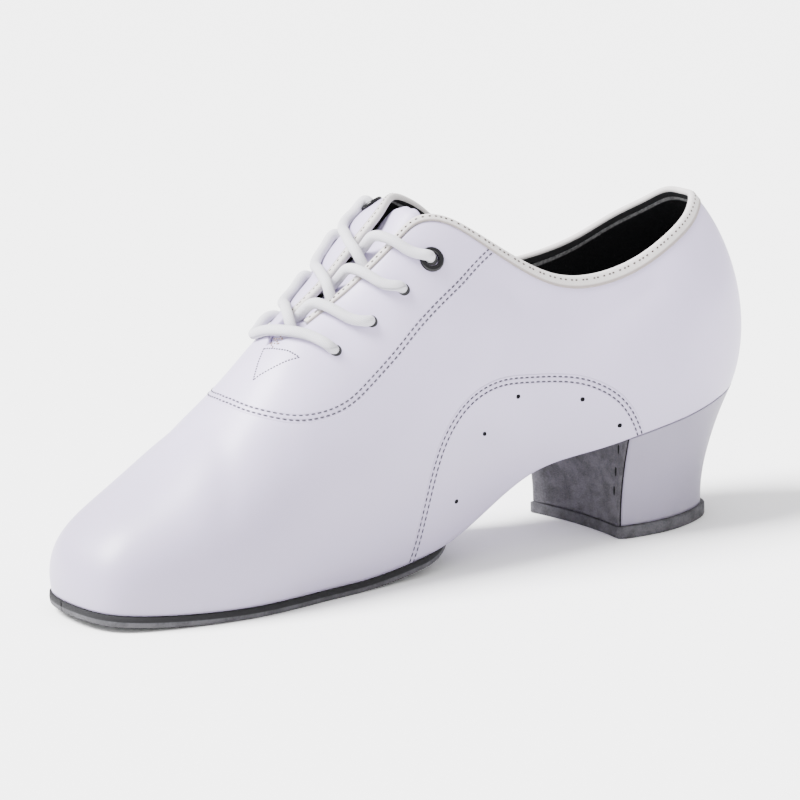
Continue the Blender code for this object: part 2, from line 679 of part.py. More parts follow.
def build_laces(finish):
    """Bar at the lowest holes, and a crossing joined into one at each pair above. Each lace
    slants toward the toe from its hole to the middle of the throat."""
    over = LACE_RADIUS + BINDING_PROUD + 2 * GAP
    q, medial, lateral = LACE_HOLES[0]
    knee = q + BAR_LEAN * BAR_SLANT
    bar = [(1, q, medial, over), (1, knee, BAR_KNEES[0], over), (1, q + BAR_SLANT, 1.0, over),
           (-1, knee, BAR_KNEES[1], over), (-1, q, lateral, over)]
    tube("lace_bar_1", lace_path(bar, 15), LACE_RADIUS, finish)
    for row in range(1, len(LACE_HOLES)):
        q, medial, lateral = LACE_HOLES[row]
        steps = [q + lean * CROSS_SLANT for lean in CROSS_LEANS]
        arms = []
        start = over + (RING_HEIGHT if row == len(LACE_HOLES) - 1 else 0.0)
        for side, v, lift in ((1, medial, 0.0), (-1, lateral, 0.5 * LACE_RADIUS)):
            edge = float(wall_edge(q if side > 0 else LOOP - q)) + CROSS_EDGE
            stops = [(side, q, v, start), (side, steps[0], 0.5 * (v + edge), over),
                     (side, steps[1], edge, over),
                     (side, steps[2], CROSS_MIDDLE, CROSS_SINK * over + lift),
                     (-side, steps[3], CROSS_TAIL, lift)]
            arms.append(tube(f"lace_cross_{row + 1}" if side > 0 else f"lace_arm_{row + 1}",
                             lace_path(stops, 11), LACE_RADIUS, finish))
        join = arms[0].modifiers.new("join", "BOOLEAN")
        join.operation = "UNION"
        join.solver = "EXACT"
        join.object = arms[1]
        COLLECTION.objects.unlink(arms[1])
        CUTTERS.objects.link(arms[1])
        arms[1].hide_render = True
        arms[1].display_type = "WIRE"


def main():
    """Build the shoe, piece by piece."""
    for old in list(bpy.data.objects):
        bpy.data.objects.remove(old)
    bpy.context.scene.collection.children.link(COLLECTION)
    bpy.context.scene.collection.children.link(CUTTERS)
    white = material("white_leather", (0.74, 0.72, 0.80), 0.42)
    suede = material("grey_suede", (0.13, 0.13, 0.14), 0.95)
    ribbon = material("cream_ribbon", (0.72, 0.69, 0.66), 0.75)
    board = material("black_sock", (0.02, 0.02, 0.02), 0.9)
    cord = material("white_cord", (0.78, 0.77, 0.80), 0.8)
    black = material("black_enamel", (0.01, 0.01, 0.012), 0.2)
    upper = build_upper(white)
    punch_holes(upper)
    build_outsole(suede)
    build_tongue(white)
    build_insole(board)
    build_waist_cover(white)
    build_heel_block(white)
    build_breast_cover(suede)
    build_lift(suede)
    build_binding(ribbon)
    q, *shares = LACE_HOLES[-1]
    for side, u, v in zip(("medial", "lateral"), both_sides(q), shares):
        build_ring(side, u, v, black)
    build_laces(cord)
    for made in [*COLLECTION.objects, *CUTTERS.objects]:
        made.location.x -= CENTRE_X * BALL_WIDTH
        made.location.y -= CENTRE_Y * LENGTH


main()
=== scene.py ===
"""Looks of a white right-foot ballroom dance shoe: leather upper with stitched panels, bound
collar, tongue, round lace, suede sole and Cuban heel, on a pale floor in soft studio light.

Metres, +Z up, the toe toward -Y, the medial side at +X. The upper's surface is a loop of
ribs: u counts ribs, 0 at the heel back and 13 at the toe tip with the medial side before it
and the lateral side after it, and v runs up each rib from the feather line to the ridge.
"""
import logging
from dataclasses import dataclass, field
from enum import Enum

import bmesh
import bpy
import numpy as np
from mathutils import Matrix, Vector


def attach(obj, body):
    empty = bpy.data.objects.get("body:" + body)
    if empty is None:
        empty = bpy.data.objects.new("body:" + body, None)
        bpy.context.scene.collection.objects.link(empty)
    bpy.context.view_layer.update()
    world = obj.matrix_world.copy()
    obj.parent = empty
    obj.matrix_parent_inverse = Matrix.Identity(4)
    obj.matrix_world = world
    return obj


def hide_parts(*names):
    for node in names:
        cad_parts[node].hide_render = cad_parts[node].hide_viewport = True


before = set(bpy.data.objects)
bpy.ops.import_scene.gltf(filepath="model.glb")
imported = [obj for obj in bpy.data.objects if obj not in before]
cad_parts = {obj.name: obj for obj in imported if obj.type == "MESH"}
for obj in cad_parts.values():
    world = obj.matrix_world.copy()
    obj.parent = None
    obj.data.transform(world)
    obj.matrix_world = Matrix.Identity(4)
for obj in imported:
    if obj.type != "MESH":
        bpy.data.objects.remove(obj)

LOG = logging.getLogger("ballroom_dance_shoe")
MM = 0.001
BODY = "root"


class Side(Enum):
    """A side of the shoe; the value is the sign of x."""

    MEDIAL = 1
    LATERAL = -1


def spline(knots: np.ndarray, values: np.ndarray, query: np.ndarray,
           flat_start: bool = False, flat_end: bool = False) -> np.ndarray:
    """Cubic spline through knots, with free ends or flat ones.

    Args:
        knots: rising positions, shape (n,).
        values: a value or a row of values at each knot, shape (n,) or (n, k).
        query: positions to read the spline at.
        flat_start: no slope at the first knot.
        flat_end: no slope at the last knot.

    Returns:
        Values at the query positions.
    """
    x = np.asarray(knots, float)
    y = np.asarray(values, float)
    columns = y.reshape(len(x), -1)
    n = len(x)
    h = np.diff(x)
    a = np.zeros((n, n))
    r = np.zeros(columns.shape)
    a[0, 0] = a[-1, -1] = 1.0
    if flat_start:
        a[0, 0], a[0, 1] = 2 * h[0], h[0]
        r[0] = 6 * (columns[1] - columns[0]) / h[0]
    if flat_end:
        a[-1, -1], a[-1, -2] = 2 * h[-1], h[-1]
        r[-1] = -6 * (columns[-1] - columns[-2]) / h[-1]
    inner = np.arange(1, n - 1)
    a[inner, inner - 1] = h[:-1]
    a[inner, inner] = 2 * (h[:-1] + h[1:])
    a[inner, inner + 1] = h[1:]
    rate = np.diff(columns, axis=0) / h[:, None]
    r[1:-1] = 6 * np.diff(rate, axis=0)
    m = np.linalg.solve(a, r)
    q = np.asarray(query, float)
    i = np.clip(np.searchsorted(x, q) - 1, 0, n - 2)
    t = (q - x[i])[..., None]
    step = h[i][..., None]
    slope = rate[i] - step * (2 * m[i] + m[i + 1]) / 6
    out = columns[i] + t * slope + t * t * m[i] / 2 + t ** 3 * (m[i + 1] - m[i]) / (6 * step)
    return out.reshape(q.shape + y.shape[1:])


def unit(vectors: np.ndarray) -> np.ndarray:
    """Vectors over their lengths, along the last axis."""
    return vectors / np.linalg.norm(vectors, axis=-1, keepdims=True)


def smoothstep(low: float, high: float, value: np.ndarray) -> np.ndarray:
    """Smooth rise from 0 at low to 1 at high."""
    t = np.clip((value - low) / (high - low), 0, 1)
    return t * t * (3 - 2 * t)


@dataclass(frozen=True)
class Last:
    """The last that every curved piece is worked out from, with the sizes of the CAD."""

    length: float = 0.280
    ball_width: float = 0.079
    instep_height: float = 0.120
    seat_rise: float = 0.0413
    toe_spring: float = 0.0030
    gap: float = 0.0003
    wall: float = 0.0018
    margin: float = 0.0110
    sole_thick: float = 0.0038
    centre_x: float = -0.0470
    centre_y: float = 0.0051
    flat_from: float = 0.650
    flat_to: float = 0.790
    throat_round: float = 7.68
    throat_end: float = 7.95
    ribs: tuple = (
        # along medial lateral ridge crown belly_m belly_l rise_m rise_l shoulder_m shoulder_l
        (0.000, 0.000, 0.000, 0.114, 0.712, 0.157, 0.157, 0.392, 0.392, 0.296, 0.296),
        (0.018, 0.213, 0.222, 0.121, 0.712, 0.164, 0.158, 0.415, 0.415, 0.304, 0.304),
        (0.084, 0.358, 0.362, 0.147, 0.722, 0.133, 0.129, 0.400, 0.400, 0.266, 0.266),
        (0.158, 0.413, 0.406, 0.190, 0.730, 0.115, 0.115, 0.385, 0.385, 0.222, 0.222),
        (0.256, 0.376, 0.392, 0.273, 0.781, 0.114, 0.118, 0.371, 0.371, 0.204, 0.204),
        (0.363, 0.277, 0.348, 0.375, 0.888, 0.173, 0.156, 0.391, 0.391, 0.246, 0.246),
        (0.471, 0.306, 0.411, 0.501, 1.009, 0.161, 0.045, 0.416, 0.790, 0.295, 0.540),
        (0.581, 0.368, 0.513, 0.584, 0.865, 0.120, 0.030, 0.462, 0.780, 0.322, 0.550),
        (0.694, 0.422, 0.563, 0.701, 0.688, 0.101, 0.101, 0.506, 0.506, 0.334, 0.334),
        (0.784, 0.466, 0.532, 0.774, 0.530, 0.090, 0.090, 0.557, 0.557, 0.327, 0.327),
        (0.875, 0.439, 0.432, 0.845, 0.408, 0.076, 0.077, 0.604, 0.604, 0.291, 0.291),
        (0.953, 0.362, 0.318, 0.882, 0.349, 0.062, 0.060, 0.596, 0.596, 0.238, 0.238),
        (0.990, 0.228, 0.188, 0.894, 0.331, 0.049, 0.048, 0.592, 0.592, 0.209, 0.209),
        (1.000, 0.000, 0.000, 0.902, 0.319, 0.053, 0.053, 0.598, 0.598, 0.203, 0.203),
    )
    shank: tuple = (
        # share of length, share of seat_rise
        (0.000, 1.135), (0.107, 1.000), (0.207, 0.876), (0.271, 0.780), (0.339, 0.665),
        (0.411, 0.412), (0.482, 0.172), (0.554, 0.058), (0.650, 0.000),
    )
    opening: tuple = (
        # rib number, share of the medial rib, share of the lateral rib
        (0.00, 0.688, 0.688), (1.00, 0.682, 0.688), (2.00, 0.608, 0.618),
        (3.00, 0.545, 0.551), (4.00, 0.505, 0.507), (4.60, 0.528, 0.530),
        (5.10, 0.602, 0.603), (5.50, 0.690, 0.690), (5.85, 0.787, 0.785),
        (6.08, 0.826, 0.885), (6.35, 0.836, 0.922), (6.80, 0.860, 0.916),
        (7.30, 0.888, 0.912), (7.95, 0.900, 0.925),
    )

    @property
    def last_rib(self) -> int:
        """Number of the rib at the toe tip."""
        return len(self.ribs) - 1

    @property
    def loop(self) -> int:
        """Ribs once round the shoe."""
        return 2 * self.last_rib

    @property
    def shift(self) -> np.ndarray:
        """From the last's own middle to the middle of the whole shoe."""
        return np.array([-self.centre_x * self.ball_width, -self.centre_y * self.length, 0.0])

    def bottom(self, along: np.ndarray, offset: float = 0.0) -> np.ndarray:
        """Height of the last's bottom: shank spline, flat forefoot, square rise of the toe.

        Args:
            along: length from the heel back.
            offset: how far the bottom is moved square to itself.

        Returns:
            Heights over the floor.
        """
        share = np.asarray(along, float) / self.length
        table = np.array(self.shank)

        def profile(s: np.ndarray) -> np.ndarray:
            """Height at a share of the length."""
            shank = spline(table[:, 0], table[:, 1], np.clip(s, -0.02, self.flat_from),
                           flat_end=True)
            toe = np.clip((s - self.flat_to) / (1 - self.flat_to), 0, None) ** 2
            shank = np.where(s < self.flat_from, shank, 0.0)
            return self.sole_thick + self.gap + self.seat_rise * shank + self.toe_spring * toe

        step = 0.002
        slope = (profile(share + step) - profile(share - step)) / (2 * step * self.length)
        return profile(share) + offset * np.sqrt(1 + slope ** 2)

    def rib_rows(self) -> np.ndarray:
        """Rows of the closed loop of ribs: medial side forward, lateral side back."""
        table = np.array(self.ribs)
        index = np.arange(self.loop)
        medial = index <= self.last_rib
        rib = table[np.where(medial, index, self.loop - index)]
        width = self.ball_width
        return np.stack([
            rib[:, 0] * self.length,
            np.where(medial, rib[:, 1], -rib[:, 2]) * width,
            rib[:, 3] * self.length,
            np.where(medial, rib[:, 5], rib[:, 6]) * width,
            np.where(medial, rib[:, 7], rib[:, 8]),
            np.where(medial, rib[:, 9], rib[:, 10]) * width,
        ], -1)

    def ridge_height(self, along: np.ndarray) -> np.ndarray:
        """Height of the ridge at a length from the heel back."""
        table = np.array(self.ribs)
        ridge = table[:, 3] * self.length
        crown = table[:, 4] * self.instep_height
        return spline(ridge, crown + self.bottom(ridge), along)

    def surface(self, u: np.ndarray, v: np.ndarray) -> np.ndarray:
        """Points of the last: w^3 foot + 3 w^2 v low + 3 w v^2 high + v^3 head, w = 1 - v.

        Args:
            u: rib numbers round the loop.
            v: shares of the rib from the feather line to the ridge.

        Returns:
            Points, the shape of u and v with 3 more.
        """
        u, v = np.broadcast_arrays(np.asarray(u, float), np.asarray(v, float))
        rows = self.rib_rows()
        n = len(rows)
        a = 4 * np.eye(n) + np.roll(np.eye(n), 1, 0) + np.roll(np.eye(n), -1, 0)
        bend = np.linalg.solve(a, 6 * (np.roll(rows, -1, 0) - 2 * rows + np.roll(rows, 1, 0)))
        i = np.floor(u).astype(int)
        t = (u - i)[..., None]
        i, j = i % n, (i + 1) % n
        row = rows[i] * (1 - t) + rows[j] * t
        row = row + (((1 - t) ** 3 - (1 - t)) * bend[i] + (t ** 3 - t) * bend[j]) / 6
        along, out, ridge, belly, rise, shoulder = np.moveaxis(row, -1, 0)
        middle = self.length / 2
        foot = np.stack([out, middle - along, self.bottom(along)], -1)
        head = np.stack([0 * out, middle - ridge, self.ridge_height(ridge)], -1)
        flat = unit((foot - head)[..., :2])
        reach = 0.01 * self.length
        slope = self.ridge_height(ridge - reach) - self.ridge_height(ridge + reach)
        slope = slope / (2 * reach)
        level = np.concatenate([flat, 0 * flat[..., :1]], -1)
        tilted = np.concatenate([flat, (slope * flat[..., 1])[..., None]], -1)
        up = np.array([0.0, 0.0, 1.0])
        height = (head - foot)[..., 2]
        low = foot + belly[..., None] * level + (rise * height)[..., None] * up
        high = head + shoulder[..., None] * tilted
        v = v[..., None]
        w = 1 - v
        points = w ** 3 * foot + 3 * w * w * v * low + 3 * w * v * v * high + v ** 3 * head
        return points + self.shift

    def outward(self, u: np.ndarray, v: np.ndarray) -> np.ndarray:
        """Unit normals: up the rib crossed with forward."""
        e = 1e-3
        u, v = np.broadcast_arrays(np.asarray(u, float), np.asarray(v, float))
        ahead = np.minimum(v, 0.99)
        forward = self.surface(u + e, ahead) - self.surface(u - e, ahead)
        up = self.surface(u, np.minimum(v + e, 1)) - self.surface(u, np.maximum(v - e, 0))
        return unit(np.cross(up, forward))

    def skin(self, u: np.ndarray, v: np.ndarray, depth: np.ndarray | float = 0.0) -> np.ndarray:
        """Points at a depth inside the surface, negative outside it."""
        depth = np.asarray(depth, float)[..., None]
        return self.surface(u, v) - depth * self.outward(u, v)

    def feather(self, u: np.ndarray, inset: float = 0.0, offset: float = 0.0) -> np.ndarray:
        """Feather line moved inward in plan by inset and square to the bottom by offset."""
        point = self.surface(u, 0.0)
        flat = unit((point - self.surface(u, 1.0))[..., :2])
        point[..., :2] -= inset * flat
        point[..., 2] = self.bottom(self.along(point), offset)
        return point

    def along(self, point: np.ndarray) -> np.ndarray:
        """Length of points from the heel back."""
        return self.length / 2 + self.shift[1] - point[..., 1]

    def rib_number(self, u: np.ndarray) -> np.ndarray:
        """Rib number along one side."""
        return np.minimum(u % self.loop, self.loop - u % self.loop)

    def edge(self, u: np.ndarray) -> np.ndarray:
        """Share of the rib where the wall ends, 1 where the vamp is closed."""
        u = np.asarray(u, float)
        q = self.rib_number(u)
        table = np.array(self.opening)
        both = spline(table[:, 0], table[:, 1:], np.minimum(q, self.throat_end), flat_start=True)
        edge = np.where(u % self.loop <= self.last_rib, both[..., 0], both[..., 1])
        closing = (q - self.throat_round) / (self.throat_end - self.throat_round)
        edge = 1 - (1 - edge) * np.sqrt(1 - np.clip(closing, 0, 1) ** 2)
        return np.where(q >= self.throat_end - 1e-9, 1.0, edge)

    def share_of(self, u: np.ndarray, v: np.ndarray, size: float) -> np.ndarray:
        """Share of the rib that a size along it takes up."""
        e = 1e-3
        reach = np.linalg.norm(self.surface(u, v + e) - self.surface(u, v - e), axis=-1)
        return size * 2 * e / reach


LAST = Last()


def loop_place(q: np.ndarray | float, side: Side) -> np.ndarray:
    """Loop position of a rib number on one side."""
    q = np.asarray(q, float)
    return q if side is Side.MEDIAL else (LAST.loop - q) % LAST.loop


def new_mesh(name: str, points: np.ndarray, faces: np.ndarray, uv: np.ndarray | None = None,
             masks: dict[str, np.ndarray] | None = None) -> bpy.types.Mesh:
    """Mesh of four-cornered faces from whole arrays.

    Args:
        name: name of the mesh.
        points: corners, shape (n, 3).
        faces: four corner numbers a face, shape (m, 4).
        uv: a pair for each point, in metres along and across, or None.
        masks: one float a point for each named attribute.

    Returns:
        The mesh, smooth shaded.
    """
    mesh = bpy.data.meshes.new(name)
    mesh.vertices.add(len(points))
    mesh.vertices.foreach_set("co", np.ascontiguousarray(points, np.float32).ravel())
    faces = np.ascontiguousarray(faces, np.int32)
    mesh.loops.add(faces.size)
    mesh.loops.foreach_set("vertex_index", faces.ravel())
    mesh.polygons.add(len(faces))
    mesh.polygons.foreach_set("loop_start", np.arange(0, faces.size, faces.shape[1],
                                                      dtype=np.int32))
    for key, values in (masks or {}).items():
        mask = mesh.attributes.new(key, "FLOAT", "POINT")
        mask.data.foreach_set("value", np.ascontiguousarray(values, np.float32).ravel())
    if uv is not None:
        layer = mesh.uv_layers.new(name="Fabric")
        layer.data.foreach_set("uv", np.ascontiguousarray(uv[faces.ravel()],
                                                          np.float32).ravel())
    mesh.update(calc_edges=True)
    mesh.polygons.foreach_set("use_smooth", np.ones(len(faces), bool))
    return mesh


def grid_faces(rows: int, columns: int, wrap_rows: bool = False,
               wrap_columns: bool = False) -> np.ndarray:
    """Corner numbers of the faces of a grid, rows following each other."""
    i = np.arange(rows if wrap_rows else rows - 1)[:, None]
    j = np.arange(columns if wrap_columns else columns - 1)[None, :]
    i2, j2 = (i + 1) % rows, (j + 1) % columns
    corner = [i * columns + j, i2 * columns + j, i2 * columns + j2, i * columns + j2]
    return np.stack([c + 0 * (i + j) for c in corner], -1).reshape(-1, 4)


def place(mesh: bpy.types.Mesh, finishes: list[bpy.types.Material],
          replaced: tuple[str, ...] = (), weld: float = 0.0) -> bpy.types.Object:
    """Object of a mesh that rides on the shoe.

    Args:
        mesh: the piece's mesh; its name becomes the object's.
        finishes: materials, in the order of the mesh's material numbers.
        replaced: CAD nodes that the piece stands for.
        weld: distance under which corners are joined, 0 for none.

    Returns:
        The object, linked to the scene.
    """
    work = bmesh.new()
    work.from_mesh(mesh)
    if weld:
        bmesh.ops.remove_doubles(work, verts=work.verts, dist=weld)
    bmesh.ops.recalc_face_normals(work, faces=work.faces)
    if work.calc_volume(signed=True) < 0:
        bmesh.ops.reverse_faces(work, faces=work.faces)
    work.to_mesh(mesh)
    work.free()
    piece = bpy.data.objects.new(mesh.name, mesh)
    for finish in finishes:
        mesh.materials.append(finish)
    bpy.context.scene.collection.objects.link(piece)
    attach(piece, BODY)
    if replaced:
        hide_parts(*replaced)
    LOG.info("piece %s: %d faces", mesh.name, len(mesh.polygons))
    return piece


def sweep(sections: np.ndarray, name: str, uv_scale: tuple[float, float] = (1.0, 1.0),
          closed: bool = False) -> bpy.types.Mesh:
    """Mesh through closed sections, with capped ends where it isn't a ring.

    Args:
        sections: points, shape (count, size, 3).
        name: name of the mesh.
        uv_scale: metres along and across of the whole sweep in its UV map.
        closed: the last section joins the first.

    Returns:
        The mesh.
    """
    count, size = sections.shape[:2]
    if not closed:
        ends = sections[[0, -1]].mean(1, keepdims=True)
        near = ends + 0.5 * (sections[[0, -1]] - ends)
        tip = ends + 0.02 * (sections[[0, -1]] - ends)
        sections = np.concatenate([tip[:1], near[:1], sections, near[1:], tip[1:]])
        count += 4
    points = sections.reshape(-1, 3)
    faces = grid_faces(count, size, wrap_rows=closed, wrap_columns=True)
    along = np.repeat(np.linspace(0, uv_scale[0], count), size)
    across = np.tile(np.linspace(0, uv_scale[1], size), count)
    if not closed:
        k = np.arange(size // 2 - 1)
        fan = np.stack([k, k + 1, size - 2 - k, size - 1 - k], -1)
        faces = np.concatenate([faces, fan, fan[:, ::-1] + (count - 1) * size])
    return new_mesh(name, points, faces, uv=np.stack([along, across], -1))


def second_finish(mesh: bpy.types.Mesh, size: int, first: int, last: int) -> None:
    """Give the second material to the faces between two points of every section.

    Args:
        mesh: a mesh made by sweep.
        size: points in a section.
        first: first point of the strip.
        last: last point of the strip.
    """
    corner = np.zeros(4 * len(mesh.polygons), np.int32)
    mesh.loops.foreach_get("vertex_index", corner)
    column = corner.reshape(-1, 4) % size
    chosen = ((column >= first) & (column <= last)).all(1)
    mesh.polygons.foreach_set("material_index", chosen.astype(np.int32))


def run_lengths(points: np.ndarray) -> np.ndarray:
    """Length along a line of points up to each of them."""
    return np.concatenate([[0], np.cumsum(np.linalg.norm(np.diff(points, axis=0), axis=1))])


def frames_along(line: np.ndarray, run: np.ndarray, normal: np.ndarray, far: np.ndarray,
                 marks: np.ndarray) -> tuple[np.ndarray, np.ndarray, np.ndarray]:
    """Places and axes at lengths along a line.

    Args:
        line: points of the line, shape (n, 3).
        run: direction at each point.
        normal: surface normal at each point.
        far: length up to each point.
        marks: lengths to read at.

    Returns:
        Places, unit long axes, and unit normals square to them.
    """
    place_, axis, up = (np.stack([np.interp(marks, far, part[:, k]) for k in range(3)], -1)
                        for part in (line, run, normal))
    axis = unit(axis)
    up = up - axis * (up * axis).sum(1, keepdims=True)
    return place_, axis, unit(up)


def dense_line(knots: np.ndarray, count: int) -> tuple[np.ndarray, np.ndarray]:
    """Rib numbers and shares at many evenly counted places of a broken line."""
    marks = np.linspace(0, len(knots) - 1, count)
    number = np.arange(len(knots))
    return np.interp(marks, number, knots[:, 0]), np.interp(marks, number, knots[:, 1])


@dataclass(frozen=True)
class Cloud:
    """Small shapes of one kind scattered at given frames, as one mesh."""

    name: str
    rings: int = 5
    sides: int = 6
    blunt: float = 0.12   # angle left out at each end
    fullness: float = 0.6

    def mesh(self, middle: np.ndarray, along: np.ndarray, normal: np.ndarray,
             half: tuple[float, float, float]) -> bpy.types.Mesh:
        """Ellipsoid-like grains: x = half_0 cos a along, y and z round it by a power of sin a.

        Args:
            middle: middles, shape (n, 3).
            along: unit long axes, shape (n, 3).
            normal: unit normals, shape (n, 3).
            half: half length, half width and half height.

        Returns:
            The mesh of all the grains.
        """
        a = np.linspace(self.blunt, np.pi - self.blunt, self.rings)
        b = np.linspace(0, 2 * np.pi, self.sides, endpoint=False)
        across = np.cross(normal, along)
        lift = np.sin(a) ** self.fullness
        x = -np.cos(a)[:, None] * half[0] + 0 * b
        y = lift[:, None] * np.cos(b) * half[1]
        z = lift[:, None] * np.sin(b) * half[2]
        grain = np.stack([x, y, z], -1).reshape(-1, 3)
        basis = np.stack([along, across, normal], 1)
        points = middle[:, None] + np.einsum("pk,nkc->npc", grain, basis)
        faces = grid_faces(self.rings, self.sides, wrap_columns=True)
        cap = np.array([[0, 1, 2, 3], [0, 3, 4, 5]])
        end = cap[:, ::-1] + (self.rings - 1) * self.sides
        faces = np.concatenate([faces, cap, end])
        size = len(grain)
        every = faces[None] + size * np.arange(len(middle))[:, None, None]
        return new_mesh(self.name, points.reshape(-1, 3), every.reshape(-1, 4))


class Nodes:
    """Node tree of one material or group, with short ways to add nodes."""

    def __init__(self, tree: bpy.types.NodeTree) -> None:
        """Keep the tree."""
        self.tree = tree

    def add(self, kind: str, **facts: object) -> bpy.types.Node:
        """New node of a kind, with its properties set by name."""
        node = self.tree.nodes.new(kind)
        for key, value in facts.items():
            setattr(node, key, value)
        return node

    def put(self, value: object, socket: bpy.types.NodeSocket) -> None:
        """Link a socket to another, or set its value."""
        if isinstance(value, bpy.types.NodeSocket):
            self.tree.links.new(value, socket)
        else:
            socket.default_value = value

    def math(self, operation: str, *values: object) -> bpy.types.NodeSocket:
        """Math node's value."""
        node = self.add("ShaderNodeMath", operation=operation)
        for value, socket in zip(values, node.inputs):
            self.put(value, socket)
        return node.outputs[0]

    def weigh(self, first: object, share: float, second: object) -> bpy.types.NodeSocket:
        """Weighted mean: share of the first value and the rest of the second."""
        return self.math("MULTIPLY_ADD", first, share, self.math("MULTIPLY", second, 1 - share))

    def axis(self, vector: object, name: str) -> bpy.types.NodeSocket:
        """One coordinate of a vector."""
        node = self.add("ShaderNodeSeparateXYZ")
        self.put(vector, node.inputs[0])
        return node.outputs[name]

    def ramp(self, value: object, low: float, high: float, start: float = 0.0,
             stop: float = 1.0) -> bpy.types.NodeSocket:
        """Smooth map of a value from low..high to start..stop."""
        node = self.add("ShaderNodeMapRange", interpolation_type="SMOOTHSTEP")
        for key, given in zip(("Value", "From Min", "From Max", "To Min", "To Max"),
                              (value, low, high, start, stop)):
            self.put(given, node.inputs[key])
        return node.outputs[0]

    def noise(self, vector: object, scale: float, detail: float = 3.0,
              roughness: float = 0.5) -> bpy.types.NodeSocket:
        """Noise value at a scale per metre."""
        node = self.add("ShaderNodeTexNoise")
        self.put(vector, node.inputs["Vector"])
        node.inputs["Scale"].default_value = scale
        node.inputs["Detail"].default_value = detail
        node.inputs["Roughness"].default_value = roughness
        return node.outputs["Fac"]

    def cells(self, vector: object, scale: float, feature: str = "F1") -> bpy.types.NodeSocket:
        """Voronoi distance at a scale per metre."""
        node = self.add("ShaderNodeTexVoronoi", feature=feature)
        self.put(vector, node.inputs["Vector"])
        node.inputs["Scale"].default_value = scale
        return node.outputs["Distance"]

    def mix(self, share: object, first: object, second: object) -> bpy.types.NodeSocket:
        """Mix of two colours."""
        node = self.add("ShaderNodeMix", data_type="RGBA")
        self.put(share, node.inputs["Factor"])
        sockets = [s for s in node.inputs if s.type == "RGBA"]
        self.put(first, sockets[0])
        self.put(second, sockets[1])
        return next(s for s in node.outputs if s.type == "RGBA")

    def bump(self, height: object, depth: float,
             normal: object | None = None) -> bpy.types.NodeSocket:
        """Normal bent by a height of a depth in metres."""
        node = self.add("ShaderNodeBump")
        self.put(height, node.inputs["Height"])
        node.inputs["Distance"].default_value = depth
        if normal is not None:
            self.put(normal, node.inputs["Normal"])
        return node.outputs[0]

    def mask(self, name: str) -> bpy.types.NodeSocket:
        """Value of a mesh attribute."""
        return self.add("ShaderNodeAttribute", attribute_name=name).outputs["Fac"]

    def place(self) -> bpy.types.NodeSocket:
        """Object coordinates."""
        return self.add("ShaderNodeTexCoord").outputs["Object"]

    def fabric(self, along: float, across: float) -> bpy.types.NodeSocket:
        """The mesh's own UV map, stretched."""
        uv = self.add("ShaderNodeUVMap", uv_map="Fabric").outputs[0]
        node = self.add("ShaderNodeVectorMath", operation="MULTIPLY")
        self.put(uv, node.inputs[0])
        node.inputs[1].default_value = (along, across, 1.0)
        return node.outputs[0]

    def group(self, tree: bpy.types.NodeTree, **inputs: object) -> bpy.types.Node:
        """A group's node with inputs linked or set by name."""
        node = self.add("ShaderNodeGroup", node_tree=tree)
        for key, value in inputs.items():
            self.put(value, node.inputs[key])
        return node


def new_group(name: str, inputs: tuple[tuple[str, str, float], ...],
              outputs: tuple[tuple[str, str], ...]) -> tuple[Nodes, object, object]:
    """Shader node group with named sockets.

    Args:
        name: name of the group.
        inputs: name, socket kind and default of each input; vectors ignore the default.
        outputs: name and socket kind of each output.

    Returns:
        Its nodes, and its input and output nodes.
    """
    tree = bpy.data.node_groups.new(name, "ShaderNodeTree")
    for key, kind, default in inputs:
        socket = tree.interface.new_socket(key, in_out="INPUT", socket_type=kind)
        if kind == "NodeSocketFloat":
            socket.default_value = default
    for key, kind in outputs:
        tree.interface.new_socket(key, in_out="OUTPUT", socket_type=kind)
    nodes = Nodes(tree)
    return nodes, nodes.add("NodeGroupInput"), nodes.add("NodeGroupOutput")


def grain_group() -> bpy.types.NodeTree:
    """Fine leather grain: cells with noise, and slow undulations. Outputs two heights."""
    nodes, given, out = new_group(
        "leather_grain", (("Vector", "NodeSocketVector", 0.0),),
        (("Fine", "NodeSocketFloat"), ("Slow", "NodeSocketFloat")))
    vector = given.outputs["Vector"]
    pores = nodes.ramp(nodes.cells(vector, 1500.0, "DISTANCE_TO_EDGE"), 0.0, 0.12)
    nodes.put(nodes.weigh(nodes.noise(vector, 900.0, 4.0), 0.6, pores), out.inputs["Fine"])
    nodes.put(nodes.noise(vector, 38.0, 2.0, 0.4), out.inputs["Slow"])
    return nodes.tree


def soil_group() -> bpy.types.NodeTree:
    """Soil and scuffs near the floor: 1 low on the shoe where noise is high."""
    nodes, given, out = new_group(
        "low_soil", (("Vector", "NodeSocketVector", 0.0), ("Height", "NodeSocketFloat", 0.012)),
        (("Soil", "NodeSocketFloat"),))
    vector = given.outputs["Vector"]
    low = nodes.ramp(nodes.math("DIVIDE", nodes.axis(vector, "Z"), given.outputs["Height"]),
                     1.0, 0.0)
    patch = nodes.ramp(nodes.noise(vector, 160.0, 5.0, 0.65), 0.42, 0.70)
    nodes.put(nodes.math("MULTIPLY", low, patch), out.inputs["Soil"])
    return nodes.tree


def nap_group() -> bpy.types.NodeTree:
    """Suede nap: brushed patches and short fibres. Outputs a shade and a height."""
    nodes, given, out = new_group(
        "suede_nap", (("Vector", "NodeSocketVector", 0.0),),
        (("Shade", "NodeSocketFloat"), ("Height", "NodeSocketFloat")))
    vector = given.outputs["Vector"]
    patches = nodes.noise(vector, 170.0, 3.0, 0.6)
    fibres = nodes.noise(vector, 1300.0, 5.0, 0.7)
    shade = nodes.weigh(nodes.ramp(patches, 0.35, 0.65), 0.55, nodes.ramp(fibres, 0.3, 0.7))
    nodes.put(shade, out.inputs["Shade"])
    nodes.put(nodes.math("ADD", fibres, nodes.math("MULTIPLY", patches, 0.5)),
              out.inputs["Height"])
    return nodes.tree


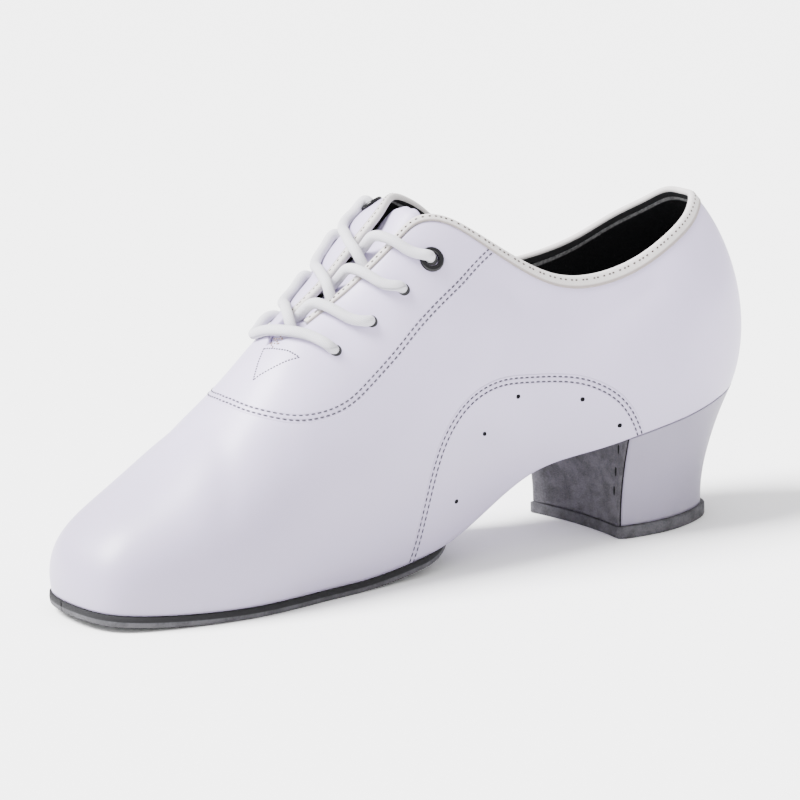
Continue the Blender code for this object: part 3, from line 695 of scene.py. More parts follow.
def weave_group() -> bpy.types.NodeTree:
    """Crossed diagonal strands on a UV map counted in strands. Outputs a height."""
    nodes, given, out = new_group(
        "weave", (("Vector", "NodeSocketVector", 0.0),), (("Height", "NodeSocketFloat"),))
    u, v = (nodes.axis(given.outputs["Vector"], name) for name in "XY")
    strands = []
    for way in ("ADD", "SUBTRACT"):
        wave = nodes.math("SINE", nodes.math("MULTIPLY", nodes.math(way, u, v), np.pi))
        strands.append(nodes.math("ABSOLUTE", wave))
    height = nodes.math("MULTIPLY", *strands)
    nodes.put(nodes.math("POWER", height, 0.6), out.inputs["Height"])
    return nodes.tree


class Groups:
    """The shared node groups, made once."""

    def __init__(self) -> None:
        """Make every group."""
        self.grain = grain_group()
        self.soil = soil_group()
        self.nap = nap_group()
        self.weave = weave_group()


@dataclass(frozen=True)
class Finish:
    """A material's name, colours and shine."""

    name: str
    base: tuple[float, float, float]
    roughness: float = 0.5
    specular: float = 0.5
    coat: float = 0.0
    coat_roughness: float = 0.2
    sheen: float = 0.0

    def start(self) -> tuple[bpy.types.Material, Nodes, bpy.types.Node]:
        """New material with its constant values set on the shader."""
        made = bpy.data.materials.new(self.name)
        made.use_nodes = True
        nodes = Nodes(made.node_tree)
        shader = made.node_tree.nodes["Principled BSDF"]
        shader.inputs["Base Color"].default_value = (*self.base, 1.0)
        shader.inputs["Roughness"].default_value = self.roughness
        shader.inputs["Specular IOR Level"].default_value = self.specular
        shader.inputs["Coat Weight"].default_value = self.coat
        shader.inputs["Coat Roughness"].default_value = self.coat_roughness
        shader.inputs["Sheen Weight"].default_value = self.sheen
        made.diffuse_color = (*self.base, 1.0)
        return made, nodes, shader

    def colour(self, scale: float) -> tuple[float, float, float, float]:
        """The base colour made lighter or darker."""
        return (*(min(1.0, c * scale) for c in self.base), 1.0)


@dataclass(frozen=True)
class PanelLeather(Finish):
    """White leather of the upper: grain, panel steps, seam grooves, lace holes, soil,
    and painted shade along the seams, in the lace holes and low on the shoe.

    Distances from a seam or a hole's rim are in millimetres, heights in metres.
    """

    step: tuple[float, float] = (-1.3, -0.7)
    row_reach: float = 0.6
    # mm from the rows' middle over which their painted shade fades
    painted_seam_shade_reach: tuple[float, float] = (1.8, 0.6)
    # mm round a lace hole's rim over which its painted shade sets in
    rim: tuple[float, float] = (0.12, -0.08)
    clouds: tuple[float, float] = (0.975, 1.02)
    # painted shade: heights between which the leather turns darker toward the floor, and its tone
    painted_low_shade: tuple[float, float] = (0.085, 0.008)
    painted_low_shade_tone: float = 0.66
    # painted shade along the stitch rows: its share and its tone
    painted_seam_shade: float = 0.13
    painted_seam_shade_tone: float = 0.45
    soil_height: float = 0.016
    soil_share: float = 0.30
    soil_tone: tuple[float, ...] = (0.30, 0.29, 0.31, 1.0)
    # near black painted in each uncut lace hole, as the shade in its opening
    painted_hole_shade_tone: tuple[float, ...] = (0.012, 0.012, 0.014, 1.0)

    def build(self, groups: Groups) -> bpy.types.Material:
        """Material that reads the upper's signed distances in millimetres."""
        made, nodes, shader = self.start()
        place_ = nodes.place()
        grain = nodes.group(groups.grain, Vector=place_)
        soil = nodes.group(groups.soil, Vector=place_, Height=self.soil_height)
        seams = [nodes.mask("eyestay"), nodes.mask("arch")]
        middles = [self.from_rows(nodes, seam) for seam in seams]
        step = nodes.math("ADD", *(nodes.ramp(seam, *self.step) for seam in seams))
        pull = nodes.math("ADD", *(self.rows(nodes, middle) for middle in middles))
        shade = nodes.math("ADD", *(nodes.ramp(middle, *self.painted_seam_shade_reach) for middle in middles))
        # painted shade: each lace hole is painted dark, as the upper isn't pierced there
        punched = nodes.ramp(nodes.mask("hole"), *self.rim)
        clouds = [self.colour(scale) for scale in self.clouds]
        tone = nodes.mix(nodes.ramp(grain.outputs["Slow"], 0.3, 0.7), *clouds)
        # painted shade: darker toward the bottom of the upper
        tone = nodes.mix(nodes.ramp(nodes.axis(place_, "Z"), *self.painted_low_shade), tone,
                         self.colour(self.painted_low_shade_tone))
        # painted shade along both seams' stitch rows
        tone = nodes.mix(nodes.math("MULTIPLY", shade, self.painted_seam_shade), tone,
                         self.colour(self.painted_seam_shade_tone))
        tone = nodes.mix(nodes.math("MULTIPLY", soil.outputs["Soil"], self.soil_share), tone,
                         self.soil_tone)
        tone = nodes.mix(punched, tone, self.painted_hole_shade_tone)
        nodes.put(tone, shader.inputs["Base Color"])
        rough = nodes.math("MULTIPLY_ADD", grain.outputs["Slow"], 0.14, self.roughness - 0.07)
        nodes.put(nodes.math("ADD", rough, nodes.math("MULTIPLY", soil.outputs["Soil"], 0.15)),
                  shader.inputs["Roughness"])
        normal = nodes.bump(grain.outputs["Slow"], 0.00035)
        normal = nodes.bump(grain.outputs["Fine"], 0.00003, normal)
        relief = nodes.math("SUBTRACT", nodes.math("MULTIPLY", step, 0.5),
                            nodes.math("MULTIPLY", pull, 0.35))
        relief = nodes.math("SUBTRACT", relief, nodes.math("MULTIPLY", punched, 1.5))
        nodes.put(nodes.bump(relief, 0.0005, normal), shader.inputs["Normal"])
        return made

    @staticmethod
    def from_rows(nodes: Nodes, distance: bpy.types.NodeSocket) -> bpy.types.NodeSocket:
        """How far a distance is from half the gap between both stitch rows."""
        gap = Stitching.row_gap / MM
        return nodes.math("ABSOLUTE", nodes.math("SUBTRACT", distance, 0.5 * gap))

    def rows(self, nodes: Nodes, middle: bpy.types.NodeSocket) -> bpy.types.NodeSocket:
        """Soft trough along both stitch rows, at 0 and at the rows' gap from a seam."""
        return nodes.ramp(self.from_rows(nodes, middle), self.row_reach, 0.0)


@dataclass(frozen=True)
class PlainLeather(Finish):
    """Smooth leather without seams, for the tongue, the heel and the waist."""

    def build(self, groups: Groups) -> bpy.types.Material:
        """Material from object coordinates alone."""
        made, nodes, shader = self.start()
        place_ = nodes.place()
        grain = nodes.group(groups.grain, Vector=place_)
        soil = nodes.group(groups.soil, Vector=place_, Height=0.012)
        tone = nodes.mix(nodes.ramp(grain.outputs["Slow"], 0.3, 0.7), self.colour(0.95),
                         self.colour(1.03))
        tone = nodes.mix(nodes.math("MULTIPLY", soil.outputs["Soil"], 0.5), tone,
                         (0.28, 0.27, 0.29, 1.0))
        nodes.put(tone, shader.inputs["Base Color"])
        nodes.put(nodes.math("MULTIPLY_ADD", grain.outputs["Slow"], 0.16,
                             self.roughness - 0.08), shader.inputs["Roughness"])
        normal = nodes.bump(grain.outputs["Slow"], 0.0003)
        nodes.put(nodes.bump(grain.outputs["Fine"], 0.00004, normal), shader.inputs["Normal"])
        return made


@dataclass(frozen=True)
class Suede(Finish):
    """Napped suede of the sole, the heel's front and its lift."""

    dark: float = 0.45
    light: float = 1.7
    painted_gap_shadow_from: float = 0.0  # share of the edge's height where the painted gap shadow starts, 0 for none

    def build(self, groups: Groups) -> bpy.types.Material:
        """Material mottled by the nap, with painted gap shadow on top of a sole's edge."""
        made, nodes, shader = self.start()
        place_ = nodes.place()
        nap = nodes.group(groups.nap, Vector=place_)
        tone = nodes.mix(nap.outputs["Shade"], self.colour(self.dark), self.colour(self.light))
        # painted shadow of the gap under the upper: the top of the edge turns dark
        if self.painted_gap_shadow_from:
            rim = nodes.ramp(nodes.mask("rise"), self.painted_gap_shadow_from, self.painted_gap_shadow_from + 0.12)
            tone = nodes.mix(rim, tone, self.colour(0.22))
        nodes.put(tone, shader.inputs["Base Color"])
        nodes.put(nodes.bump(nap.outputs["Height"], 0.00025), shader.inputs["Normal"])
        return made


@dataclass(frozen=True)
class Woven(Finish):
    """Woven cord or ribbon: strands counted along and across the UV map's metres."""

    along: float = 900.0
    across: float = 900.0
    depth: float = 0.00012
    foot: float = 0.0  # height of the brown line and painted shadow along the foot, 0 for none

    def build(self, groups: Groups) -> bpy.types.Material:
        """Weave's height and painted shade; brown line and painted shadow along the foot."""
        made, nodes, shader = self.start()
        weave = nodes.group(groups.weave, Vector=nodes.fabric(self.along, self.across))
        fuzz = nodes.noise(nodes.place(), 700.0, 4.0, 0.6)
        shade = nodes.weigh(weave.outputs["Height"], 0.7, fuzz)
        # painted shade: darker where the weave's strands are low
        tone = nodes.mix(shade, self.colour(0.72), self.colour(1.05))
        # brown line along the ribbon's foot, with painted shadow where it meets the leather
        if self.foot:
            line = nodes.ramp(nodes.axis(nodes.fabric(1.0, 1.0), "Y"), self.foot,
                              0.5 * self.foot)
            tone = nodes.mix(nodes.math("MULTIPLY", line, 0.75), tone, (0.20, 0.16, 0.15, 1.0))
        nodes.put(tone, shader.inputs["Base Color"])
        normal = nodes.bump(weave.outputs["Height"], self.depth)
        nodes.put(nodes.bump(fuzz, 0.00008, normal), shader.inputs["Normal"])
        return made


@dataclass(frozen=True)
class Lining(Finish):
    """Black lining with a thin grey knitted band below the collar."""

    def build(self, groups: Groups) -> bpy.types.Material:
        """Material that reads the distance from the collar's edge in millimetres."""
        made, nodes, shader = self.start()
        place_ = nodes.place()
        below = nodes.mask("below")
        knit = nodes.cells(place_, 900.0)
        band = nodes.ramp(below, 2.3, 1.5)
        grey = nodes.mix(knit, (0.34, 0.34, 0.35, 1.0), (0.12, 0.12, 0.125, 1.0))
        nodes.put(nodes.mix(band, self.colour(1.0), grey), shader.inputs["Base Color"])
        nodes.put(nodes.bump(nodes.math("ADD", knit, nodes.noise(place_, 500.0)), 0.00015),
                  shader.inputs["Normal"])
        return made


@dataclass(frozen=True)
class Enamel(Finish):
    """Gloss enamel of the eyelets, a little worn in patches."""

    def build(self, groups: Groups) -> bpy.types.Material:
        """Material with faint orange peel."""
        made, nodes, shader = self.start()
        place_ = nodes.place()
        worn = nodes.ramp(nodes.noise(place_, 420.0, 4.0), 0.62, 0.75)
        nodes.put(nodes.mix(worn, self.colour(1.0), self.colour(4.0)),
                  shader.inputs["Base Color"])
        nodes.put(nodes.math("MULTIPLY_ADD", worn, 0.2, self.roughness),
                  shader.inputs["Roughness"])
        nodes.put(nodes.bump(nodes.noise(place_, 600.0, 2.0), 0.00002),
                  shader.inputs["Normal"])
        return made


@dataclass(frozen=True)
class Thread(Finish):
    """Stitching thread, twisted."""

    def build(self, groups: Groups) -> bpy.types.Material:
        """Material with a fine twist."""
        made, nodes, shader = self.start()
        twist = nodes.noise(nodes.place(), 3000.0, 2.0)
        nodes.put(nodes.mix(twist, self.colour(0.6), self.colour(1.4)),
                  shader.inputs["Base Color"])
        nodes.put(nodes.bump(twist, 0.00005), shader.inputs["Normal"])
        return made


@dataclass(frozen=True)
class Paper(Finish):
    """Seamless pale floor."""

    def build(self, groups: Groups) -> bpy.types.Material:
        """Material with hardly any tone of its own."""
        made, nodes, shader = self.start()
        tone = nodes.noise(nodes.place(), 6.0, 2.0)
        nodes.put(nodes.mix(tone, self.colour(0.995), self.colour(1.0)),
                  shader.inputs["Base Color"])
        return made


@dataclass
class Palette:
    """All finishes of the shoe and the floor."""

    groups: Groups = field(default_factory=Groups)

    def __post_init__(self) -> None:
        """Build the materials."""
        white = (0.500, 0.445, 0.620)
        self.upper = PanelLeather("upper_leather", white, 0.40, 0.45, 0.15, 0.30).build(
            self.groups)
        self.leather = PlainLeather("plain_leather", white, 0.45, 0.45, 0.10, 0.35).build(
            self.groups)
        # painted shade: the heel cover's white leather, about 0.4 times as light as on the upper
        self.heel = PlainLeather("heel_leather", (0.200, 0.180, 0.245), 0.48, 0.4, 0.08,
                                 0.4).build(self.groups)
        self.breast = Suede("breast_suede", (0.062, 0.059, 0.067), 0.95, 0.15, sheen=0.05,
                            dark=0.6, light=1.5).build(self.groups)
        # the sole's suede paints the shadow of the gap under the upper on top of its edge
        self.suede = Suede("sole_suede", (0.062, 0.061, 0.067), 0.95, 0.15, sheen=0.05,
                           dark=0.65, light=1.35, painted_gap_shadow_from=0.45).build(self.groups)
        self.lift = Suede("lift_suede", (0.060, 0.058, 0.065), 0.95, 0.15, sheen=0.05,
                          dark=0.6, light=1.5).build(self.groups)
        self.ribbon = Woven("collar_ribbon", (0.60, 0.57, 0.565), 0.7, 0.3, sheen=0.15,
                            along=1400.0, across=1400.0, depth=0.00008,
                            foot=0.0012).build(self.groups)
        self.ribbon_in = Woven("collar_ribbon_inside", (0.030, 0.031, 0.033), 0.8, 0.2,
                               along=1400.0, across=1400.0, depth=0.00008).build(self.groups)
        self.cord = Woven("lace_cord", (0.60, 0.59, 0.635), 0.75, 0.3, sheen=0.2,
                          along=1100.0, across=1270.0).build(self.groups)
        self.lining = Lining("black_lining", (0.007, 0.007, 0.008), 0.8, 0.2).build(
            self.groups)
        self.sock = Suede("sock_board", (0.014, 0.014, 0.016), 0.85, 0.2, dark=0.7,
                          light=1.5).build(self.groups)
        self.enamel = Enamel("black_enamel_look", (0.0025, 0.0025, 0.0035), 0.18, 0.22, 0.12,
                             0.08).build(self.groups)
        self.thread = Thread("grey_thread", (0.062, 0.056, 0.074), 0.8, 0.2).build(self.groups)
        self.dark = Thread("dark_thread", (0.060, 0.045, 0.042), 0.85, 0.2).build(self.groups)
        self.tack = Thread("brown_thread", (0.20, 0.14, 0.12), 0.85, 0.2).build(self.groups)
        self.hole = Thread("punched_hole", (0.004, 0.004, 0.005), 0.9, 0.1).build(self.groups)
        self.paper = Paper("floor_paper", (0.93, 0.93, 0.93), 0.9, 0.2).build(self.groups)


@dataclass(frozen=True)
class Seam:
    """A line on the upper, by rib number and share of the rib on each side."""

    name: str
    medial: tuple[tuple[float, float], ...]
    lateral: tuple[tuple[float, float], ...]

    def knots(self, side: Side) -> np.ndarray:
        """The line's points on one side."""
        return np.array(self.medial if side is Side.MEDIAL else self.lateral)

    def line(self, side: Side, count: int = 400) -> tuple[np.ndarray, np.ndarray]:
        """Dense rib numbers and shares, evenly spaced along the line."""
        knots = self.knots(side)
        world = LAST.surface(loop_place(knots[:, 0], side), knots[:, 1])
        far = run_lengths(world)
        fine = spline(far, knots, np.linspace(0, far[-1], count))
        return fine[:, 0], fine[:, 1]

    def points(self, side: Side, count: int = 400) -> np.ndarray:
        """Dense points of the line on the surface."""
        q, v = self.line(side, count)
        return LAST.surface(loop_place(q, side), v)


EYESTAY = Seam(
    "eyestay",
    ((8.90, 0.998), (8.77, 0.820), (8.45, 0.658), (8.14, 0.566), (7.84, 0.517),
     (7.51, 0.500), (7.16, 0.518), (6.83, 0.534), (6.49, 0.551), (6.18, 0.560),
     (5.81, 0.579), (5.48, 0.620), (5.30, 0.645)),
    ((8.90, 0.998), (8.77, 0.830), (8.45, 0.685), (8.14, 0.610), (7.84, 0.575),
     (7.51, 0.570), (7.16, 0.590), (6.83, 0.610), (6.49, 0.625), (6.18, 0.630),
     (5.81, 0.635), (5.48, 0.650), (5.30, 0.660)),
)
ARCH = Seam(
    "arch",
    ((6.79, 0.000), (6.73, 0.040), (6.65, 0.104), (6.54, 0.183), (6.40, 0.247),
     (6.12, 0.299), (5.80, 0.315), (5.41, 0.309), (5.04, 0.287), (4.64, 0.263),
     (4.32, 0.241), (4.08, 0.211), (3.85, 0.163), (3.68, 0.103), (3.49, 0.000)),
    ((6.79, 0.000), (6.73, 0.033), (6.65, 0.078), (6.54, 0.122), (6.40, 0.160),
     (6.12, 0.202), (5.80, 0.236), (5.41, 0.268), (5.04, 0.277), (4.64, 0.264),
     (4.32, 0.241), (4.08, 0.211), (3.85, 0.163), (3.68, 0.103), (3.49, 0.000)),
)
TACK = (
    (8.04, 0.996), (7.98, 0.915), (7.92, 0.855), (7.87, 0.785), (7.99, 0.818),
    (8.33, 0.893), (8.42, 0.903), (8.22, 0.955), (8.04, 0.996),
)
THROAT_TACK = (
    (7.84, 0.990), (7.87, 0.935), (7.90, 0.992), (7.93, 0.930), (7.96, 0.990), (7.99, 0.945),
)
PINHOLES = ((5.23, 0.253), (4.34, 0.182), (3.84, 0.065), (5.74, 0.211), (6.14, 0.099))
LACE_HOLE_RADIUS = 0.00235
LACE_HOLES = (
    # rib number, share of the medial rib, share of the lateral rib
    (7.50, 0.700, 0.760), (7.04, 0.694, 0.765), (6.57, 0.684, 0.770), (6.12, 0.688, 0.775),
)


def nearest(points: np.ndarray, marks: np.ndarray) -> np.ndarray:
    """Distance in millimetres from each point to the nearest of the marks."""
    flat = points.reshape(-1, 3)
    best = np.full(len(flat), 1.0)
    for part in np.array_split(marks, max(1, len(marks) // 40)):
        apart = np.linalg.norm(flat[:, None] - part[None], axis=-1).min(1)
        best = np.minimum(best, apart)
    return best.reshape(points.shape[:-1]) / MM


@dataclass(frozen=True)
class Crease:
    """Soft trough or ridge of the leather along a line on one side."""

    side: Side
    line: tuple[tuple[float, float], ...]
    height: float
    width: float

    def lift(self, points: np.ndarray) -> np.ndarray:
        """Height of the crease at points: height times exp of minus the squared distance."""
        knots = np.array(self.line)
        fine = spline(np.arange(len(knots)), knots, np.linspace(0, len(knots) - 1, 60))
        marks = LAST.surface(loop_place(fine[:, 0], self.side), fine[:, 1])
        return self.height * np.exp(-(nearest(points, marks) * MM / self.width) ** 2)


CREASES = (
    Crease(Side.MEDIAL, ((8.30, 0.50), (7.60, 0.40), (7.00, 0.42), (6.30, 0.45)), -0.0007, 0.009),
    Crease(Side.MEDIAL, ((5.75, 0.24), (5.35, 0.17), (5.00, 0.08)), -0.0006, 0.007),
    Crease(Side.MEDIAL, ((3.60, 0.30), (2.70, 0.35), (1.80, 0.37)), 0.0006, 0.011),
    Crease(Side.MEDIAL, ((5.05, 0.50), (5.35, 0.555), (5.70, 0.60)), -0.0004, 0.005),
    Crease(Side.MEDIAL, ((9.55, 0.40), (9.35, 0.62), (9.20, 0.88)), -0.0003, 0.005),
    Crease(Side.MEDIAL, ((9.90, 0.42), (9.75, 0.66), (9.65, 0.90)), 0.0003, 0.007),
    Crease(Side.MEDIAL, ((4.30, 0.36), (3.70, 0.42), (3.10, 0.46)), -0.0003, 0.004),
    Crease(Side.LATERAL, ((8.30, 0.52), (7.60, 0.46), (7.00, 0.48)), -0.0006, 0.008),
    Crease(Side.LATERAL, ((9.60, 0.38), (9.35, 0.60), (9.20, 0.86)), -0.0004, 0.005),
    Crease(Side.LATERAL, ((3.60, 0.30), (2.70, 0.35), (1.80, 0.37)), 0.0005, 0.011),
    Crease(Side.LATERAL, ((5.10, 0.50), (5.40, 0.56), (5.75, 0.62)), -0.0004, 0.005),
)


def leather(u: np.ndarray, v: np.ndarray, depth: np.ndarray | float = 0.0) -> np.ndarray:
    """Points at a depth inside the creased face of the leather."""
    points = LAST.surface(u, v)
    lift = sum(crease.lift(points) for crease in CREASES)
    return points - (depth - lift)[..., None] * LAST.outward(u, v)


@dataclass
class Upper:
    """Hollow leather wall: panels, lace holes painted dark as shade, lining, turned margin."""

    columns_per_rib: int = 17
    outer_rows: int = 96
    inner_rows: int = 40
    wall_foot: float = 0.035
    margin_turn: float = 0.0012
    throat_from: float = 7.45
    throat_rows: int = 14
    weld: float = 1e-6
    nowhere: float = 99.0  # distance in millimetres where no seam, hole or edge is near

    def distance(self, seam: Seam, u: np.ndarray, v: np.ndarray,
                 points: np.ndarray) -> np.ndarray:
        """Signed distance in millimetres to a seam, positive on its panel's side."""
        marks = np.concatenate([seam.points(side) for side in Side])
        apart = nearest(points, marks)
        q = LAST.rib_number(u)
        medial = u % LAST.loop <= LAST.last_rib
        inside = np.zeros(u.shape, bool)
        for side in Side:
            line = np.stack(seam.line(side), 1)
            rising = line[np.argsort(line[:, 0])]
            level = np.interp(q, rising[:, 0], rising[:, 1])
            within = (q >= rising[0, 0]) & (q <= rising[-1, 0])
            above = v > level if seam is EYESTAY else v < level
            mine = medial if side is Side.MEDIAL else ~medial
            inside |= mine & within & above
        return np.where(inside, apart, -apart)

    def outer_face(self, loop: np.ndarray, edge: np.ndarray,
                   shut: np.ndarray) -> tuple[np.ndarray, dict[str, np.ndarray]]:
        """Points of the creased outer face, and their distances to the seams and holes."""
        u = np.repeat(loop[:, None], self.outer_rows, 1)
        v = edge[:, None] * np.linspace(0, 1, self.outer_rows)
        smooth = LAST.skin(u, v)
        apart = {seam.name: self.distance(seam, u, v, smooth) for seam in (EYESTAY, ARCH)}
        apart["hole"] = self.hole_distance(smooth)
        outer = leather(u, v)
        outer[shut, -1, 0] = LAST.shift[0]
        return outer, apart

    def inner_face(self, loop: np.ndarray, edge: np.ndarray, shut: np.ndarray) -> np.ndarray:
        """Points of the lining's face, both sides joined where the vamp is closed."""
        u = np.repeat(loop[:, None], self.inner_rows, 1)
        v = self.wall_foot + (edge[:, None] - self.wall_foot) * np.linspace(1, 0, self.inner_rows)
        inner = LAST.skin(u, v, LAST.wall)
        partner = (len(loop) - np.arange(len(loop))) % len(loop)
        inner[:, 0][shut] = 0.5 * (inner[:, 0] + inner[partner, 0])[shut]
        inner[shut, 0, 0] = LAST.shift[0]
        return inner

    def build(self, palette: Palette) -> bpy.types.Object:
        """Make the wall: outer face, edge, inner face and turned margin in one mesh."""
        count = LAST.loop * self.columns_per_rib
        loop = np.linspace(0, LAST.loop, count, endpoint=False)
        edge = LAST.edge(loop)
        shut = edge > 1 - 1e-9
        outer, apart = self.outer_face(loop, edge, shut)
        inner = self.inner_face(loop, edge, shut)
        margin = [LAST.feather(loop, inset)[:, None]
                  for inset in (LAST.margin, 0.5 * LAST.margin, self.margin_turn)]
        turned = [LAST.feather(loop, inset, LAST.wall)[:, None]
                  for inset in (LAST.wall, LAST.margin)]
        rings = np.concatenate([*margin, outer, inner, *turned], 1)
        size = rings.shape[1]
        faces = grid_faces(count, size, wrap_rows=True, wrap_columns=True)
        first_out = len(margin)
        first_in = first_out + self.outer_rows
        # where the vamp is closed the strip between both faces has no width
        crest = (faces[:, 0] % size == first_in - 1) & shut[faces[:, 0] // size]
        crest &= shut[faces[:, 1] // size]
        faces = faces[~crest]
        masks = {}
        for key, values in apart.items():
            blank = self.nowhere if key == "hole" else -self.nowhere
            masks[key] = np.full(rings.shape[:2], blank)
            masks[key][:, first_out:first_in] = values
        below = np.full(rings.shape[:2], self.nowhere)
        rim = LAST.skin(loop, edge, LAST.wall)[:, None]
        below[:, first_in:first_in + self.inner_rows] = np.linalg.norm(inner - rim, axis=-1) / MM
        below[shut] = self.nowhere
        masks["below"] = below
        mesh = new_mesh("shoe_upper", rings.reshape(-1, 3), faces, masks=masks)
        row = faces[:, 0] % size
        throat = LAST.rib_number(loop[faces[:, 0] // size]) > self.throat_from
        lined = (row >= first_in) & ~(throat & (row < first_in + self.throat_rows))
        mesh.polygons.foreach_set("material_index", lined.astype(np.int32))
        return place(mesh, [palette.upper, palette.lining], ("upper",),
                     weld=self.weld)

    @staticmethod
    def hole_distance(points: np.ndarray) -> np.ndarray:
        """Signed distance in millimetres to the rim of the nearest lace hole."""
        best = np.full(points.shape[:-1], 99.0)
        for q, medial, lateral in LACE_HOLES:
            for side, v in zip(Side, (medial, lateral)):
                middle = LAST.surface(loop_place(q, side), v)
                best = np.minimum(best, np.linalg.norm(points - middle, axis=-1) / MM
                                  - LACE_HOLE_RADIUS / MM)
        return best


@dataclass
class Stitching:
    """Double rows of thread along the seams, the bar-tacks at the throat and the pinholes."""

    row_gap: float = 0.0018
    pitch: float = 0.0023
    proud: float = 0.00003
    half: tuple[float, float, float] = (0.00080, 0.00032, 0.00017)
    pinhole: tuple[float, float, float] = (0.00095, 0.00095, 0.00012)
    pinhole_depth: float = 0.00004

    def row(self, q: np.ndarray, v: np.ndarray, side: Side, offset: float,
            pitch: float) -> tuple[np.ndarray, ...]:
        """Middles, long axes and normals of one row of stitches.

        Args:
            q: rib numbers of a dense line.
            v: shares of the rib of that line.
            side: side of the shoe.
            offset: distance from the line across the leather.
            pitch: distance between stitches.

        Returns:
            Three arrays of shape (n, 3).
        """
        u = loop_place(q, side)
        points = leather(u, v)
        normal = LAST.outward(u, v)
        run = unit(np.gradient(points, axis=0))
        rows = points + np.cross(normal, run) * offset
        far = run_lengths(rows)
        marks = np.arange(0.5 * pitch, far[-1], pitch)
        middle, axis, up = frames_along(rows, run, normal, far, marks)
        return middle + self.proud * up, axis, up

    def build(self, palette: Palette) -> None:
        """Make the seams' rows, the tacks at the throat and the pinholes."""
        for seam, turn in ((EYESTAY, 1), (ARCH, -1)):
            parts = [self.row(*seam.line(side, 800), side, turn * side.value * offset, self.pitch)
                     for side in Side for offset in (0.0, self.row_gap)]
            joined = [np.concatenate([p[k] for p in parts]) for k in range(3)]
            mesh = Cloud(f"stitches_{seam.name}").mesh(*joined, self.half)
            place(mesh, [palette.thread])
        half = (0.5 * self.half[0], *self.half[1:])
        for name, knots, count, pitch, finish in (
                ("stitches_tack", TACK, 400, 0.5 * self.pitch, palette.thread),
                ("stitches_throat", THROAT_TACK, 200, 0.6 * self.pitch, palette.tack)):
            fine = self.row(*dense_line(np.array(knots), count), Side.MEDIAL, 0.0, pitch)
            place(Cloud(name).mesh(*fine, half), [finish])
        self.pinholes(palette)

    def pinholes(self, palette: Palette) -> None:
        """Round punched dots beside the arch seam."""
        middle = np.array(PINHOLES)
        u = loop_place(middle[:, 0], Side.MEDIAL)
        normal = LAST.outward(u, middle[:, 1])
        run = unit(np.cross(normal, [0.0, 0.0, 1.0]))
        spots = Cloud("pinholes", 5, 12)
        dots = leather(u, middle[:, 1], self.pinhole_depth)
        place(spots.mesh(dots, run, normal, self.pinhole), [palette.hole])


@dataclass
class Binding:
    """Folded ribbon round the collar and down the throat, with its row of stitch holes."""

    height: float = 0.0042
    slim: float = 0.0032
    proud: float = 0.0004
    skirt: float = 0.0010
    belly: float = 0.00012
    end: float = 7.60
    columns: int = 620
    dot_pitch: float = 0.0023
    dot_half: tuple[float, float, float] = (0.00048, 0.00034, 0.00014)
    dot_rise: float = 0.60
    side_turn: float = 0.36
    side_share: float = 0.72
    width: float = 0.009
    turns: int = 17
    first_inside: int = 10
    skirt_ends: tuple[float, float] = (5.5, 6.2)
    slims: tuple[float, float] = (5.2, 6.2)
    dot_proud: float = 0.0001
    dot_stray: float = 0.2

    def build(self, palette: Palette) -> bpy.types.Object:
        """Sweep the ribbon's section along the edge of the wall, and dot it."""
        loop = np.linspace(-self.end, self.end, self.columns) % LAST.loop
        edge = LAST.edge(loop)
        per_size = LAST.share_of(loop, edge, 1.0)
        height = self.tall(loop)
        turn = np.linspace(0, 1, self.turns)
        side = self.side_turn
        arc = np.clip((turn - side) / (1 - 2 * side), 0, 1)
        rise = np.minimum(np.minimum(turn, 1 - turn) / side, 1.0) * self.side_share
        rise = rise + (1 - self.side_share) * np.sin(np.pi * arc)
        depth = -self.proud + (LAST.wall + 2 * self.proud) * 0.5 * (1 - np.cos(np.pi * arc))
        depth = depth - self.belly * np.sin(np.pi * np.clip(turn / side, 0, 1))
        hang = self.skirt * (1 - smoothstep(*self.skirt_ends, LAST.rib_number(loop)))
        lower = np.clip(1 - turn / side, 0, 1)
        sections = [LAST.skin(loop, edge + (LAST.gap + r * height - low * hang) * per_size,
                              d + 0 * loop)
                    for r, d, low in zip(rise, depth, lower)]
        sections = np.stack(sections, 1)
        length = run_lengths(sections[:, 0])[-1]
        mesh = sweep(sections, "collar_ribbon_binding", (length, self.width))
        second_finish(mesh, self.turns, self.first_inside, self.turns - 1)
        piece = place(mesh, [palette.ribbon, palette.ribbon_in],
                      ("collar_binding",))
        self.dots(palette)
        return piece

    def tall(self, loop: np.ndarray) -> np.ndarray:
        """Height of the ribbon, less down the throat than round the collar."""
        throat = smoothstep(*self.slims, LAST.rib_number(loop))
        return self.height + (self.slim - self.height) * throat

    def dots(self, palette: Palette) -> None:
        """Stitch holes along the upper third of the ribbon's outer face."""
        loop = np.linspace(-self.end, self.end, 2400) % LAST.loop
        edge = LAST.edge(loop)
        v = edge + LAST.share_of(loop, edge, 1.0) * self.dot_rise * self.tall(loop)
        line = LAST.skin(loop, v, -self.proud - self.dot_proud + 0 * loop)
        far = run_lengths(line)
        marks = np.arange(self.dot_pitch, far[-1] - self.dot_pitch, self.dot_pitch)
        stray = np.sin(7.3 * np.arange(len(marks)) ** 1.3)
        marks = marks + self.dot_stray * self.dot_pitch * stray
        fine = frames_along(line, np.gradient(line, axis=0), LAST.outward(loop, v), far, marks)
        place(Cloud("stitches_binding").mesh(*fine, self.dot_half), [palette.dark])


